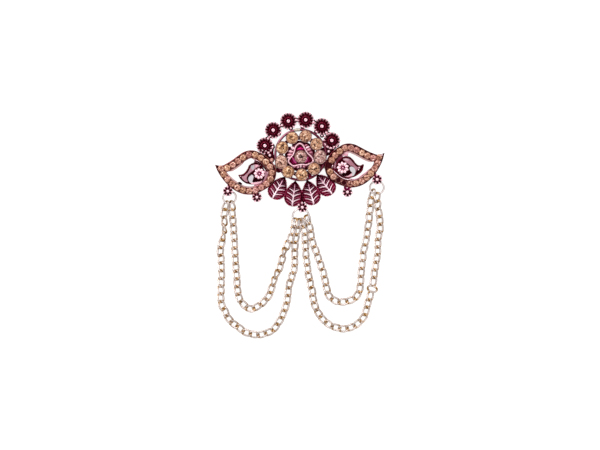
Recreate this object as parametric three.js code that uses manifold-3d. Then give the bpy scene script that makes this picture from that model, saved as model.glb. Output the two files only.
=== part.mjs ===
// Chain brooch: a cast openwork brooch with set stones, four swags of curb chain on three jump rings and a pin
// fitting behind. Millimetres, +Z up. The brooch lies face up on a surface at z = 0, on its pin and its chains.
import * as THREE from 'three';
import { mergeVertices } from 'three/addons/utils/BufferGeometryUtils.js';
import Module from 'manifold-3d';

const wasm = await Module();
wasm.setup();

// Driving dimensions.
const castingTurn = THREE.MathUtils.degToRad(4);       // the casting lies turned a little anticlockwise
const ringCentre = { x: -0.15, y: 27.85 };             // the wire ring's centre, the casting's own origin
const backHeight = 3.8;                                // the casting's flat back above the surface
const plateThickness = 1.2;
const fitGap = 0.12;                                   // between a stone or the pin bar and its seat
const jointDepth = 0.4;                                // how far soldered pieces run into each other

const wireRing = { radius: 10.3, wire: 0.42 };
const ringWrap = { x: -0.2, radius: 0.6, length: 2.7 };    // short wrapped length at the top of the ring
const daisy = { count: 6, orbit: 14.2, firstAngle: 18.75, pitch: 28.5, petals: 14, tip: 3.35, notch: 2.85,
  rimHeight: 1.0, domeRadius: 2.35, domeHeight: 1.3, eye: 0.7, eyeHeight: 1.8 };
const linkBead = { radius: 0.5, height: 1.0 };
const setStone = { count: 9, orbit: 7.9, orbitX: 0.15, orbitY: -0.3, firstAngle: 111.5, pitch: 40, radius: 2.15 };
const collet = { radius: 2.5, height: 2.0, bore: 2.3, floor: 0.8 };
const stoneHeight = { base: 1.0, girdle: 1.15, bezel: 1.3, table: 1.95, tableRadius: 1.25 };
const motif = { radius: 5.2, web: 8.4, webThickness: 0.8, triangleTop: 1.7, cornerRadius: 0.9, stoneX: 0.35,
  stoneY: -0.85 };
const stud = { petals: 7, tip: 2.05, notch: 1.55, rimHeight: 1.2, eye: 0.65, eyeHeight: 1.5, neck: 1.7 };
const frameHeight = 1.6;
const channelFloor = 0.9;
const stoneRow = { inner: 0.85, outer: 0.15, top: 1.9 };
const channel = { inner: 0.92, outer: 0.08 };
const jumpRing = { wire: 0.325, topDrop: 0.75, footHeight: 0.95 };
const eyelet = { radius: 0.85, wire: 0.3 };
const pin = { y: -4.6, halfLength: 12.4, barWidth: 3.0, barThickness: 0.7, stem: 0.45, pointLength: 1.2,
  pastCatch: 0.4, barrel: 1.2, catchBore: 0.65, catchFrom: 90, catchTo: 378, fittingLength: 2.2, postWidth: 1.1 };
const chainSection = { width: 2.2, height: 1.3, sides: 8, step: 4.8 };

// The eye-shaped frame: a row for each station round the band, from the sharp outer tip over the top to the
// inner end and back along the bottom. Right-hand frame; the left one is its mirror image.
const eyeStations = [
  { outerX: 34.0, outerY: -1.5, innerX: 29.6, innerY: -4.7 },
  { outerX: 31.4, outerY: -2.1, innerX: 28.6, innerY: -4.5 },
  { outerX: 28.8, outerY: -1.1, innerX: 27.0, innerY: -3.9 },
  { outerX: 26.6, outerY: 0.1, innerX: 24.9, innerY: -2.7 },
  { outerX: 24.4, outerY: 1.5, innerX: 22.9, innerY: -1.4 },
  { outerX: 22.5, outerY: 2.6, innerX: 21.3, innerY: -0.5 },
  { outerX: 20.4, outerY: 3.2, innerX: 19.9, innerY: 0.1 },
  { outerX: 18.2, outerY: 3.1, innerX: 18.5, innerY: 0.0 },
  { outerX: 16.0, outerY: 2.2, innerX: 17.2, innerY: -0.8 },
  { outerX: 13.1, outerY: 0.4, innerX: 15.3, innerY: -2.3 },
  { outerX: 11.0, outerY: -2.1, innerX: 13.9, innerY: -4.2 },
  { outerX: 9.7, outerY: -5.3, innerX: 13.0, innerY: -6.4 },
  { outerX: 10.4, outerY: -9.0, innerX: 13.7, innerY: -8.2 },
  { outerX: 12.9, outerY: -11.7, innerX: 15.2, innerY: -9.8 },
  { outerX: 15.8, outerY: -13.3, innerX: 17.2, innerY: -11.0 },
  { outerX: 19.0, outerY: -14.4, innerX: 19.4, innerY: -11.7 },
  { outerX: 22.3, outerY: -14.3, innerX: 21.6, innerY: -11.6 },
  { outerX: 25.0, outerY: -13.4, innerX: 23.7, innerY: -10.9 },
  { outerX: 27.6, outerY: -11.7, innerX: 25.7, innerY: -9.6 },
  { outerX: 29.9, outerY: -9.4, innerX: 27.5, innerY: -8.0 },
  { outerX: 31.8, outerY: -6.7, innerX: 28.8, innerY: -6.5 },
  { outerX: 33.1, outerY: -4.2, innerX: 29.4, innerY: -5.5 },
  { outerX: 34.0, outerY: -1.5, innerX: 29.6, innerY: -4.7 },
];
const stepsPerStation = 2;                             // straight lengths between stations
const emptySockets = { from: 12.55, to: 14.5 };        // stations of the right frame that have lost two stones

// The paisley inside each frame, from its pointed tail over the top and round the head.
const paisleyOutline = [
  { x: 25.0, y: -5.7 }, { x: 23.7, y: -6.2 }, { x: 22.4, y: -5.6 }, { x: 21.2, y: -4.2 }, { x: 19.9, y: -2.9 },
  { x: 18.2, y: -2.2 }, { x: 16.3, y: -2.6 }, { x: 14.5, y: -4.1 }, { x: 12.9, y: -6.3 }, { x: 13.9, y: -8.8 },
  { x: 15.8, y: -10.4 }, { x: 18.2, y: -11.0 }, { x: 20.4, y: -10.5 }, { x: 22.2, y: -9.7 }, { x: 23.7, y: -8.4 },
  { x: 25.0, y: -5.7 },
];
const paisleySteps = 26;

// Leaves, each from its point at the ring to its round end. Right-hand pair; the left pair mirrors it.
const leaves = [
  { tipX: 2.3, tipY: -10.0, endX: 4.35, endY: -20.2 },
  { tipX: 6.3, tipY: -8.1, endX: 11.95, endY: -16.5 },
];
const leafHalfWidth = 3.6;
const leafSteps = 7;                                   // straight lengths along each quarter of the outline

// Studs along the lower edge, and where the neck of each one meets the casting.
const studs = [
  { x: -29.6, y: -12.7, neckX: -28.6, neckY: -9.8 },
  { x: -18.2, y: -16.1, neckX: -18.4, neckY: -13.2 },
  { x: -0.2, y: -21.2, neckX: 0, neckY: -14.6 },
  { x: 18.1, y: -16.2, neckX: 18.3, neckY: -13.2 },
  { x: 30.2, y: -12.3, neckX: 29.0, neckY: -9.6 },
];

// Jump rings that hang from the outer and middle studs.
const jumpRings = [
  { name: 'left_jump_ring', x: -29.1, y: -15.0, diameter: 6.0 },
  { name: 'centre_jump_ring', x: -1.2, y: -24.5, diameter: 7.3 },
  { name: 'right_jump_ring', x: 30.0, y: -15.2, diameter: 6.3 },
];

// Chain routes along the surface, from one jump ring to the other.
const chains = [
  { name: 'left_outer_chain',
    x: [-29.9, -30.4, -30.5, -31.8, -31.8, -31.5, -31.7, -31.0, -28.6, -25.0, -20.4, -15.0, -10.4, -7.2, -5.2, -4.3,
      -2.3, -2.1, -1.8, -1.4, -1.0],
    y: [7.9, 3.6, -3.3, -10.2, -17.3, -23.1, -29.2, -33.0, -38.1, -41.3, -43.6, -43.9, -41.7, -36.8, -31.0, -24.5,
      -17.6, -12.0, -6.8, -2.9, -0.3] },
  { name: 'left_inner_chain',
    x: [-27.2, -26.7, -26.4, -26.1, -25.7, -25.2, -24.6, -23.0, -20.4, -17.8, -14.4, -11.9, -9.8, -7.6, -6.0, -4.7,
      -4.0, -3.7],
    y: [7.8, 2.8, -3.3, -9.7, -16.0, -22.3, -28.3, -31.4, -33.5, -33.2, -30.6, -26.7, -21.3, -15.8, -10.0, -6.4,
      -3.4, 1.0] },
  { name: 'right_outer_chain',
    x: [1.7, 2.0, 2.2, 2.7, 3.7, 4.8, 6.2, 8.8, 12.6, 17.9, 22.6, 26.0, 27.5, 29.0, 29.9, 31.0, 31.3, 32.2, 31.8,
      31.5, 31.8],
    y: [-0.3, -3.2, -8.5, -14.9, -21.3, -27.3, -32.8, -37.4, -40.4, -41.7, -39.9, -35.7, -30.5, -25.9, -19.2, -12.1,
      -6.0, -0.8, 3.8, 7.6, 11.5] },
  { name: 'right_inner_chain',
    x: [28.6, 28.2, 27.6, 26.7, 25.5, 24.8, 24.4, 23.7, 21.6, 18.6, 15.6, 12.7, 10.7, 9.5, 8.6, 6.9, 5.3, 4.8, 4.4],
    y: [11.8, 7.0, 1.3, -5.0, -11.1, -16.5, -22.0, -26.9, -29.6, -30.7, -30.9, -29.5, -27.0, -21.5, -17.0, -12.0,
      -6.2, -2.3, 1.0] },
];

const materials = {
  casting: { color: 0x5a1230, roughness: 0.35, metalness: 0.6 },
  champagneStone: { color: 0xd9a86c, roughness: 0.12, metalness: 0.2 },
  centreStone: { color: 0xb9a08c, roughness: 0.12, metalness: 0.2 },
  topazStone: { color: 0xcf9a74, roughness: 0.15, metalness: 0.2 },
  silverWire: { color: 0xd3c4c4, roughness: 0.25, metalness: 1.0 },
  roseGoldChain: { color: 0xe3c9a6, roughness: 0.28, metalness: 1.0 },
  pinSteel: { color: 0xc9b9a2, roughness: 0.3, metalness: 1.0 },
};

// Solids and meshes.
function toSolid(geometry) {
  const bare = geometry.clone();
  bare.deleteAttribute('normal');
  bare.deleteAttribute('uv');
  const merged = mergeVertices(bare, 1e-5);
  return new wasm.Manifold(new wasm.Mesh({
    numProp: 3,
    vertProperties: new Float32Array(merged.attributes.position.array),
    triVerts: new Uint32Array(merged.index.array),
  }));
}

function toGeometry(solid) {
  const mesh = solid.getMesh();
  const geometry = new THREE.BufferGeometry();
  geometry.setAttribute('position', new THREE.BufferAttribute(mesh.vertProperties, 3));
  geometry.setIndex(new THREE.BufferAttribute(mesh.triVerts, 1));
  geometry.computeVertexNormals();
  return geometry;
}

function union(geometries) {
  return geometries.map(toSolid).reduce((whole, piece) => whole.add(piece));
}

function pieceMesh(name, geometry, finish) {
  const mesh = new THREE.Mesh(geometry, new THREE.MeshStandardMaterial(finish));
  mesh.name = name;
  return mesh;
}

function onCircle(radius, degrees) {
  const angle = THREE.MathUtils.degToRad(degrees);
  return new THREE.Vector2(radius * Math.cos(angle), radius * Math.sin(angle));
}

// A flat plate with the given outline, its underside at height z above the casting's back.
function plate(outline, z, thickness) {
  const geometry = new THREE.ExtrudeGeometry(new THREE.Shape(outline), { depth: thickness, bevelEnabled: false });
  return geometry.translate(0, 0, backHeight + z);
}

function disc(centre, radius, z, thickness, sides = 18) {
  const outline = Array.from({ length: sides }, (_, i) => onCircle(radius, i * 360 / sides).add(centre));
  return plate(outline, z, thickness);
}

// A flower outline whose petals are points at the tip radius with notches between them.
function flower(centre, petals, tip, notch, z, thickness) {
  const outline = Array.from({ length: petals * 2 }, (_, i) => (
    onCircle(i % 2 ? notch : tip, i * 180 / petals).add(centre)));
  return plate(outline, z, thickness);
}

// A straight bar of the given width between two points of the casting.
function bar(from, to, width, z, thickness) {
  const side = new THREE.Vector2(from.y - to.y, to.x - from.x).setLength(width / 2);
  const outline = [from.clone().add(side), from.clone().sub(side), to.clone().sub(side), to.clone().add(side)];
  return plate(outline, z, thickness);
}

// A closed line of spaced points with one sharp corner, where the spline starts and ends.
function corneredLoop(points, steps) {
  return new THREE.SplineCurve(points).getSpacedPoints(steps).slice(0, -1);
}

// A line round the eye frame at a share of the way from its outer edge (0) to its inner edge (1).
const lastStation = eyeStations.length - 1;
function eyePoints(side, share, fromStation = 0, toStation = lastStation) {
  const outer = new THREE.SplineCurve(eyeStations.map((s) => new THREE.Vector2(side * s.outerX, s.outerY)));
  const inner = new THREE.SplineCurve(eyeStations.map((s) => new THREE.Vector2(side * s.innerX, s.innerY)));
  const steps = Math.round((toStation - fromStation) * stepsPerStation);
  return Array.from({ length: steps + 1 }, (_, i) => {
    const t = (fromStation + (toStation - fromStation) * i / steps) / lastStation;
    return outer.getPoint(t).lerp(inner.getPoint(t), share);
  });
}

// A closed band round the eye frame between two shares of its width.
function eyeBand(side, outerShare, innerShare, z, thickness) {
  const [outer, inner] = [outerShare, innerShare].map((share) => eyePoints(side, share).slice(0, -1));
  const cutter = plate(inner, z - plateThickness, thickness + 2 * plateThickness);
  return toGeometry(toSolid(plate(outer, z, thickness)).subtract(toSolid(cutter)));
}

// The casting: every soldered or cast piece of the brooch, in the casting's own frame.
function ringPieces() {
  const ring = new THREE.TorusGeometry(wireRing.radius, wireRing.wire, 6, 44);
  ring.translate(0, 0, backHeight + plateThickness / 2);
  const wrap = new THREE.CylinderGeometry(ringWrap.radius, ringWrap.radius, ringWrap.length, 10);
  wrap.rotateZ(Math.PI / 2);
  wrap.translate(ringWrap.x, wireRing.radius, backHeight + plateThickness / 2);
  return [ring, wrap];
}

function daisyPieces() {
  const pieces = [];
  for (let i = 0; i < daisy.count; i += 1) {
    const angle = daisy.firstAngle + i * daisy.pitch;
    const centre = onCircle(daisy.orbit, angle);
    pieces.push(flower(centre, daisy.petals, daisy.tip, daisy.notch, 0, daisy.rimHeight));
    pieces.push(disc(centre, daisy.domeRadius, 0, daisy.domeHeight, 14));
    pieces.push(disc(centre, daisy.eye, 0, daisy.eyeHeight, 8));
    pieces.push(disc(onCircle(wireRing.radius + linkBead.radius, angle), linkBead.radius, 0, linkBead.height, 8));
    if (i > 0) {
      const between = onCircle(daisy.orbit, angle - daisy.pitch / 2);
      pieces.push(disc(between, linkBead.radius, 0, linkBead.height, 8));
    }
  }
  return pieces;
}

function colletCentres() {
  const orbit = new THREE.Vector2(setStone.orbitX, setStone.orbitY);
  return Array.from({ length: setStone.count }, (_, i) => (
    onCircle(setStone.orbit, setStone.firstAngle - i * setStone.pitch).add(orbit)));
}

function motifCentre() {
  return new THREE.Vector2(motif.stoneX, motif.stoneY);
}

function roundedTriangle() {
  const corners = [{ x: 0.6, y: 4.3, turn: 90 }, { x: -4.3, y: -2.7, turn: 210 }, { x: 5.2, y: -2.6, turn: 330 }];
  const reach = motif.cornerRadius;
  const outline = [];
  for (const corner of corners) {
    const inset = onCircle(reach, corner.turn).negate().add(new THREE.Vector2(corner.x, corner.y));
    for (const swing of [-60, -20, 20, 60]) {
      outline.push(onCircle(reach, corner.turn + swing).add(inset));
    }
  }
  return outline;
}

function motifPieces() {
  return [
    disc(new THREE.Vector2(setStone.orbitX, setStone.orbitY), motif.web, 0, motif.webThickness, 36),
    disc(motifCentre(), motif.radius, 0, plateThickness, 24),
    plate(roundedTriangle(), 0, motif.triangleTop),
  ];
}

function leafOutline(leaf, side) {
  const tip = new THREE.Vector2(side * leaf.tipX, leaf.tipY);
  const end = new THREE.Vector2(side * leaf.endX, leaf.endY);
  const along = end.clone().sub(tip);
  const across = new THREE.Vector2(-along.y, along.x).setLength(leafHalfWidth);
  const at = (share, width) => tip.clone().addScaledVector(along, share).addScaledVector(across, width);
  const outline = [];
  for (const flank of [1, -1]) {
    const quarter = [
      new THREE.CubicBezierCurve(at(0, 0), at(0.12, 0.3 * flank), at(0.38, flank), at(0.64, flank)),
      new THREE.CubicBezierCurve(at(0.64, flank), at(0.84, flank), at(1, 0.6 * flank), at(1, 0)),
    ].flatMap((curve) => curve.getPoints(leafSteps).slice(0, -1));
    outline.push(...(flank > 0 ? quarter : quarter.slice(1).concat(at(1, 0)).reverse()));
  }
  return outline;
}

function framePieces(side) {
  const band = eyeBand(side, 0, 1, 0, frameHeight);
  const paisley = corneredLoop(paisleyOutline.map((p) => new THREE.Vector2(side * p.x, p.y)), paisleySteps);
  return [band, plate(paisley, 0, plateThickness)];
}

function studPieces(place) {
  const centre = new THREE.Vector2(place.x, place.y);
  return [
    flower(centre, stud.petals, stud.tip, stud.notch, 0, stud.rimHeight),
    disc(centre, stud.eye, 0, stud.eyeHeight, 8),
    bar(centre, new THREE.Vector2(place.neckX, place.neckY), stud.neck, 0, plateThickness),
  ];
}

// The jump rings slope from their eyelets down to the chains; y and z of a ring's highest wire point.
function jumpRingSlope(ring) {
  const radius = ring.diameter / 2 - jumpRing.wire;
  const topZ = backHeight - jumpRing.topDrop;
  const angle = Math.asin((topZ - jumpRing.footHeight) / (2 * radius));
  return { radius, angle, topY: ring.y + radius * Math.cos(angle), topZ };
}

function eyeletPiece(ring) {
  const slope = jumpRingSlope(ring);
  const loop = new THREE.TorusGeometry(eyelet.radius, eyelet.wire, 6, 14);
  return loop.rotateY(Math.PI / 2).translate(ring.x, slope.topY, slope.topZ);
}

function castingSolid() {
  const seats = [...colletCentres(), motifCentre()];
  const sides = [1, -1];
  let solid = union([
    ...ringPieces(),
    ...daisyPieces(),
    ...motifPieces(),
    ...sides.flatMap((side) => leaves.map((leaf) => plate(leafOutline(leaf, side), 0, plateThickness))),
    ...sides.flatMap(framePieces),
    ...studs.flatMap(studPieces),
    ...jumpRings.map(eyeletPiece),
    ...seats.map((seat) => disc(seat, collet.radius, 0, collet.height)),
  ]);
  for (const seat of seats) {
    solid = solid.subtract(toSolid(disc(seat, collet.bore, collet.floor, collet.height)));
  }
  for (const side of sides) {
    solid = solid.subtract(toSolid(eyeBand(side, channel.outer, channel.inner, channelFloor, frameHeight)));
  }
  return solid;
}

// A set stone: a small flat base, a pavilion out to the girdle, and a crown up to the table.
function stoneGeometry(centre) {
  const girdle = setStone.radius;
  const profile = [
    [0, 0], [stoneHeight.base, 0], [girdle, stoneHeight.girdle], [girdle, stoneHeight.bezel],
    [stoneHeight.tableRadius, stoneHeight.table], [0, stoneHeight.table],
  ].map(([radius, height]) => new THREE.Vector2(radius, height));
  const stone = new THREE.LatheGeometry(profile, 16).rotateX(Math.PI / 2);
  return stone.translate(centre.x, centre.y, backHeight + collet.floor + fitGap);
}

// A row of small stones along the frame's channel, whole on the left and open where two stones are lost.
function stoneRowGeometry(side) {
  const low = channelFloor + fitGap;
  const height = stoneRow.top - low;
  if (side < 0) {
    return eyeBand(side, stoneRow.outer, stoneRow.inner, low, height);
  }
  const line = (share) => {
    const after = eyePoints(side, share, emptySockets.to);
    return after.concat(eyePoints(side, share, 0, emptySockets.from).slice(1));
  };
  return plate(line(stoneRow.outer).concat(line(stoneRow.inner).reverse()), low, height);
}

function jumpRingGeometry(ring) {
  const slope = jumpRingSlope(ring);
  const centreZ = slope.topZ - slope.radius * Math.sin(slope.angle);
  const wire = new THREE.TorusGeometry(slope.radius, jumpRing.wire, 6, 24);
  return wire.rotateX(slope.angle).translate(ring.x, ring.y, centreZ);
}

// The pin fitting, made as one piece: a bar against the casting's back, a hinge barrel on a post, a stem and an
// open catch round the stem's point.
function pinGeometry() {
  const barTop = backHeight - fitGap;
  const barLow = barTop - pin.barThickness;
  const xAxis = (geometry) => geometry.rotateZ(Math.PI / 2);
  const backBar = new THREE.BoxGeometry(2 * pin.halfLength, pin.barWidth, pin.barThickness);
  backBar.translate(0, pin.y, (barTop + barLow) / 2);
  const fittingX = pin.halfLength - pin.fittingLength / 2;
  const barrel = new THREE.CylinderGeometry(pin.barrel, pin.barrel, pin.barWidth, 16);
  barrel.translate(-fittingX, pin.y, pin.barrel);
  const postHeight = barLow - pin.barrel + jointDepth;
  const post = new THREE.BoxGeometry(pin.postWidth, pin.barWidth, postHeight);
  post.translate(-fittingX, pin.y, pin.barrel + postHeight / 2);
  const stem = xAxis(new THREE.CylinderGeometry(pin.stem, pin.stem, 2 * fittingX + pin.pastCatch, 8));
  stem.translate(pin.pastCatch / 2, pin.y, pin.barrel);
  const point = xAxis(new THREE.ConeGeometry(pin.stem, pin.pointLength, 8)).rotateZ(Math.PI);
  point.translate(fittingX + pin.pastCatch + pin.pointLength / 2, pin.y, pin.barrel);
  const [hookFrom, hookTo] = [pin.catchFrom, pin.catchTo].map(THREE.MathUtils.degToRad);
  const hookOutline = new THREE.Shape();
  hookOutline.absarc(0, 0, pin.barrel, hookFrom, hookTo, false);
  hookOutline.absarc(0, 0, pin.catchBore, hookTo, hookFrom, true);
  const hook = new THREE.ExtrudeGeometry(hookOutline,
    { depth: pin.fittingLength, bevelEnabled: false, curveSegments: 12 });
  hook.rotateX(Math.PI / 2).rotateZ(Math.PI / 2);
  hook.translate(fittingX - pin.fittingLength / 2, pin.y, pin.barrel);
  const hookPostLow = pin.barrel + pin.catchBore + fitGap;
  const hookPost = new THREE.BoxGeometry(pin.fittingLength, pin.postWidth, barLow - hookPostLow + jointDepth);
  hookPost.translate(fittingX, pin.y - pin.postWidth / 2, (barLow + jointDepth + hookPostLow) / 2);
  return toGeometry(union([backBar, barrel, post, stem, point, hook, hookPost]));
}

// A route along the surface whose section stays level, with its width across the route.
class LevelRoute extends THREE.CatmullRomCurve3 {
  computeFrenetFrames(segments) {
    const frames = { tangents: [], normals: [], binormals: [] };
    for (let i = 0; i <= segments; i += 1) {
      const tangent = this.getTangentAt(i / segments);
      frames.tangents.push(tangent);
      frames.normals.push(new THREE.Vector3(-tangent.y, tangent.x, 0).normalize());
      frames.binormals.push(new THREE.Vector3(0, 0, 1));
    }
    return frames;
  }
}

function chainGeometry(chain) {
  const { width, height, sides, step } = chainSection;
  const halfAngle = 180 / sides;
  const stretch = 1 / Math.cos(THREE.MathUtils.degToRad(halfAngle));
  const outline = Array.from({ length: sides }, (_, i) => {
    const corner = onCircle(stretch / 2, i * 360 / sides + halfAngle);
    return new THREE.Vector2(corner.x * width, corner.y * height);
  });
  const points = chain.x.map((x, i) => new THREE.Vector3(x, chain.y[i], height / 2));
  const route = new LevelRoute(points, false, 'centripetal');
  const steps = Math.round(route.getLength() / step);
  return new THREE.ExtrudeGeometry(new THREE.Shape(outline), { steps, extrudePath: route });
}

const brooch = new THREE.Group();
const casting = new THREE.Group();
casting.position.set(ringCentre.x, ringCentre.y, 0);
casting.rotation.z = castingTurn;
brooch.add(casting);

casting.add(pieceMesh('brooch_body', toGeometry(castingSolid()), materials.casting));
colletCentres().forEach((centre, i) => {
  casting.add(pieceMesh(`ring_stone_${i + 1}`, stoneGeometry(centre), materials.champagneStone));
});
casting.add(pieceMesh('centre_stone', stoneGeometry(motifCentre()), materials.centreStone));
casting.add(pieceMesh('left_frame_stones', stoneRowGeometry(-1), materials.topazStone));
casting.add(pieceMesh('right_frame_stones', stoneRowGeometry(1), materials.topazStone));
for (const ring of jumpRings) {
  casting.add(pieceMesh(ring.name, jumpRingGeometry(ring), materials.silverWire));
}
casting.add(pieceMesh('brooch_pin', pinGeometry(), materials.pinSteel));
for (const chain of chains) {
  brooch.add(pieceMesh(chain.name, chainGeometry(chain), materials.roseGoldChain));
}

export default brooch;
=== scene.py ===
import math
import random

import bmesh
import bpy
import numpy as np
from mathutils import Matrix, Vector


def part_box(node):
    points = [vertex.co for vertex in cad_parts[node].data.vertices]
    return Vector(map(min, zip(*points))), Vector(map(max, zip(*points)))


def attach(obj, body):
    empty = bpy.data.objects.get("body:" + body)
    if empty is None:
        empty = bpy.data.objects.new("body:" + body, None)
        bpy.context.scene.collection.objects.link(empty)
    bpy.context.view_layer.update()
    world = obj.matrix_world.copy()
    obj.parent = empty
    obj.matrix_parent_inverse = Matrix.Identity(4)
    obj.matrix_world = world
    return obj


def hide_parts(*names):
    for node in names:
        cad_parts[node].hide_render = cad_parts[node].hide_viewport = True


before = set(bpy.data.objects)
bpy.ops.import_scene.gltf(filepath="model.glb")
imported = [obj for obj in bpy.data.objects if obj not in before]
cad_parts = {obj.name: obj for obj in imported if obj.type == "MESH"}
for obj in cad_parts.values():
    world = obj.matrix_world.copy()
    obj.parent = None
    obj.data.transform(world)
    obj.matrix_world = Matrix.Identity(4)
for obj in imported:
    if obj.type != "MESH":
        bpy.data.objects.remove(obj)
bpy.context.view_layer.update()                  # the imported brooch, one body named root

mm = 0.001
circle = 2 * math.pi
castingTurn = math.radians(4)      # the casting lies turned a little
ringCentre = (-0.15, 27.85)        # its own origin on the table, mm
backHeight = 3.8                   # its flat back above the table, mm


# Shells: each is (points, faces), a closed surface in mm.

def gridFaces(rows, cols, closedRows=False, closedCols=False, start=0):
    r, c = np.meshgrid(np.arange(rows if closedRows else rows - 1),
                       np.arange(cols if closedCols else cols - 1), indexing='ij')
    r, c = r.ravel(), c.ravel()
    nextR, nextC = (r + 1) % rows, (c + 1) % cols
    quads = np.column_stack((r * cols + c, r * cols + nextC, nextR * cols + nextC, nextR * cols + c))
    return (quads + start).tolist()


def fanFaces(ring, tip):
    return [[ring[i], ring[(i + 1) % len(ring)], tip] for i in range(len(ring))]


def unit(vectors):
    return vectors / np.maximum(np.linalg.norm(vectors, axis=-1, keepdims=True), 1e-9)


def capped(points, faces, width, firstTip, lastTip):
    # closes a shell's first and last rings, width points round, with a fan each
    count = len(points)
    faces += fanFaces(list(range(width)), count) + fanFaces(list(range(count - width, count)), count + 1)
    return np.vstack((points, firstTip, lastTip)), faces


def around(reach, angle, z):           # points round the z axis
    return np.column_stack(np.broadcast_arrays(reach * np.cos(angle), reach * np.sin(angle), z))


def tube(path, radius, sides=8, closed=False, flat=1.0):
    path = np.asarray(path, float)
    radius = np.broadcast_to(np.asarray(radius, float), len(path)).copy()
    if closed:
        ahead = unit(np.roll(path, -1, 0) - np.roll(path, 1, 0))
    else:                          # two short steps round each end off
        reach, taper = np.array([[0.8], [0.5]]), np.array([0.45, 0.8])
        ahead = unit(np.gradient(path, axis=0))
        head = path[0] - ahead[0] * radius[0] * reach
        tail = path[-1] + ahead[-1] * radius[-1] * reach[::-1]
        path = np.vstack((head, path, tail))
        ahead = np.vstack(([ahead[0]] * 2, ahead, [ahead[-1]] * 2))
        radius = np.concatenate((radius[0] * taper, radius, radius[-1] * taper[::-1]))
    side = unit(np.cross((0, 0, 1), ahead))
    above = np.cross(ahead, side)
    angle = circle * np.arange(sides) / sides
    rings = path[:, None] + radius[:, None, None] * (
        np.cos(angle)[None, :, None] * side[:, None] + flat * np.sin(angle)[None, :, None] * above[:, None])
    shell = rings.reshape(-1, 3), gridFaces(len(path), sides, closed, True)
    return shell if closed else capped(*shell, sides, path[0], path[-1])


def turned(profile, segments, centre=(0, 0, 0)):
    profile = np.asarray(profile, float)       # radius and height, from axis to axis
    body = profile[1:-1]
    angle = circle * np.arange(segments) / segments
    rings = np.stack((body[:, :1] * np.cos(angle), body[:, :1] * np.sin(angle),
                      np.repeat(body[:, 1:], segments, 1)), axis=-1)
    points, faces = capped(rings.reshape(-1, 3), gridFaces(len(body), segments, False, True), segments,
                           (0, 0, profile[0][1]), (0, 0, profile[-1][1]))
    return points + np.asarray(centre, float), faces


def ball(centre, radius, rings=6, segments=10, squash=1.0):
    tilt = np.linspace(-math.pi / 2, math.pi / 2, rings + 1)
    profile = np.column_stack((radius * np.cos(tilt), radius * squash * np.sin(tilt)))
    return turned(profile, segments, centre)


def torus(centre, radius, wire, segments, sides):
    path = around(radius, circle * np.arange(segments) / segments, 0)
    return tube(path + np.asarray(centre, float), wire, sides, closed=True)


def relief(centre, edge, height, rings, segments):
    shares = np.linspace(0, 1, rings + 1)[1:, None]        # a disc with a sculpted top
    angle = circle * np.arange(segments)[None, :] / segments
    radius = shares * edge(angle)
    z = height(shares, angle) + 0 * radius
    top = np.stack((radius * np.cos(angle), radius * np.sin(angle), z), axis=-1).reshape(-1, 3)
    low = top[-segments:] * (1, 1, 0)
    middle = float(np.mean(height(np.zeros((1, 1)), angle)))
    points, faces = capped(np.vstack((top, low)), gridFaces(rings + 1, segments, False, True), segments,
                           (0, 0, middle), (0, 0, 0))
    return points + (centre[0], centre[1], 0), faces


def insetLine(outline, distance):
    ahead = unit(np.roll(outline, -1, 0) - np.roll(outline, 1, 0))
    return outline + distance * np.column_stack((-ahead[:, 1], ahead[:, 0]))


def block(outline, layers):
    outline = np.asarray(outline, float)       # anticlockwise; layers are (inset, height) from the bottom up
    rings = [np.column_stack((insetLine(outline, inset), np.full(len(outline), z))) for inset, z in layers]
    count = len(outline)
    faces = gridFaces(len(layers), count, False, True)
    faces += [list(range(count)), list(range(count * (len(layers) - 1), count * len(layers)))]
    return np.vstack(rings), faces


def slab(grid, base):
    rows, cols = grid.shape[:2]                # a sculpted sheet, closed by walls and a flat underside
    low = grid.copy()
    low[..., 2] = base
    count = rows * cols
    faces = gridFaces(rows, cols) + gridFaces(rows, cols, start=count)
    index = np.arange(count).reshape(rows, cols)
    rim = list(index[0]) + list(index[1:, -1]) + list(index[-1, -2::-1]) + list(index[-2:0:-1, 0])
    for i, here in enumerate(rim):
        there = rim[(i + 1) % len(rim)]
        faces.append([int(here), int(there), int(there) + count, int(here) + count])
    return np.vstack((grid.reshape(-1, 3), low.reshape(-1, 3))), faces


def mirrored(shell, side):
    points = shell[0].copy()
    points[:, 0] *= side
    return points, shell[1]


def moved(shell, offset):
    return shell[0] + np.asarray(offset, float), shell[1]


def reordered(shell, axes):            # laid another way by taking its axes in another order
    return shell[0][:, axes], shell[1]


def smoothLine(points, steps, closed=False):
    points = np.asarray(points, float)         # a curve through the points, steps lengths between each two
    count = len(points)
    spans = count if closed else count - 1
    at = np.arange(spans * steps + (0 if closed else 1)) / steps
    whole = np.minimum(at.astype(int), spans - 1)
    t = (at - whole)[:, None]

    def pick(index):
        return points[index % count] if closed else points[np.clip(index, 0, count - 1)]
    before, here, there, after = (pick(whole + k) for k in (-1, 0, 1, 2))
    pull, push = (there - before) / 2, (after - here) / 2
    return ((2 * here - 2 * there + pull + push) * t ** 3
            + (-3 * here + 3 * there - 2 * pull - push) * t ** 2 + pull * t + here)


def drop(points, layers, steps=5):     # a block on a closed curve, whichever way round its points run
    line = smoothLine(points, steps, closed=True)
    area = np.sum(line[:, 0] * np.roll(line[:, 1], -1) - np.roll(line[:, 0], -1) * line[:, 1])
    return block(line if area > 0 else line[::-1], layers)


def distances(line):                   # how far along a line each of its points lies
    return np.concatenate(([0], np.cumsum(np.linalg.norm(np.diff(line, axis=0), axis=1))))


def onLine(line, at, reach):
    # places at distances along a line, the way it runs there over reach each way, and its length
    run = distances(line)
    places, after, before = (np.column_stack([np.interp(where, run, column) for column in line.T])
                             for where in (at, at + reach, at - reach))
    return places, unit(after - before), run[-1]


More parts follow.
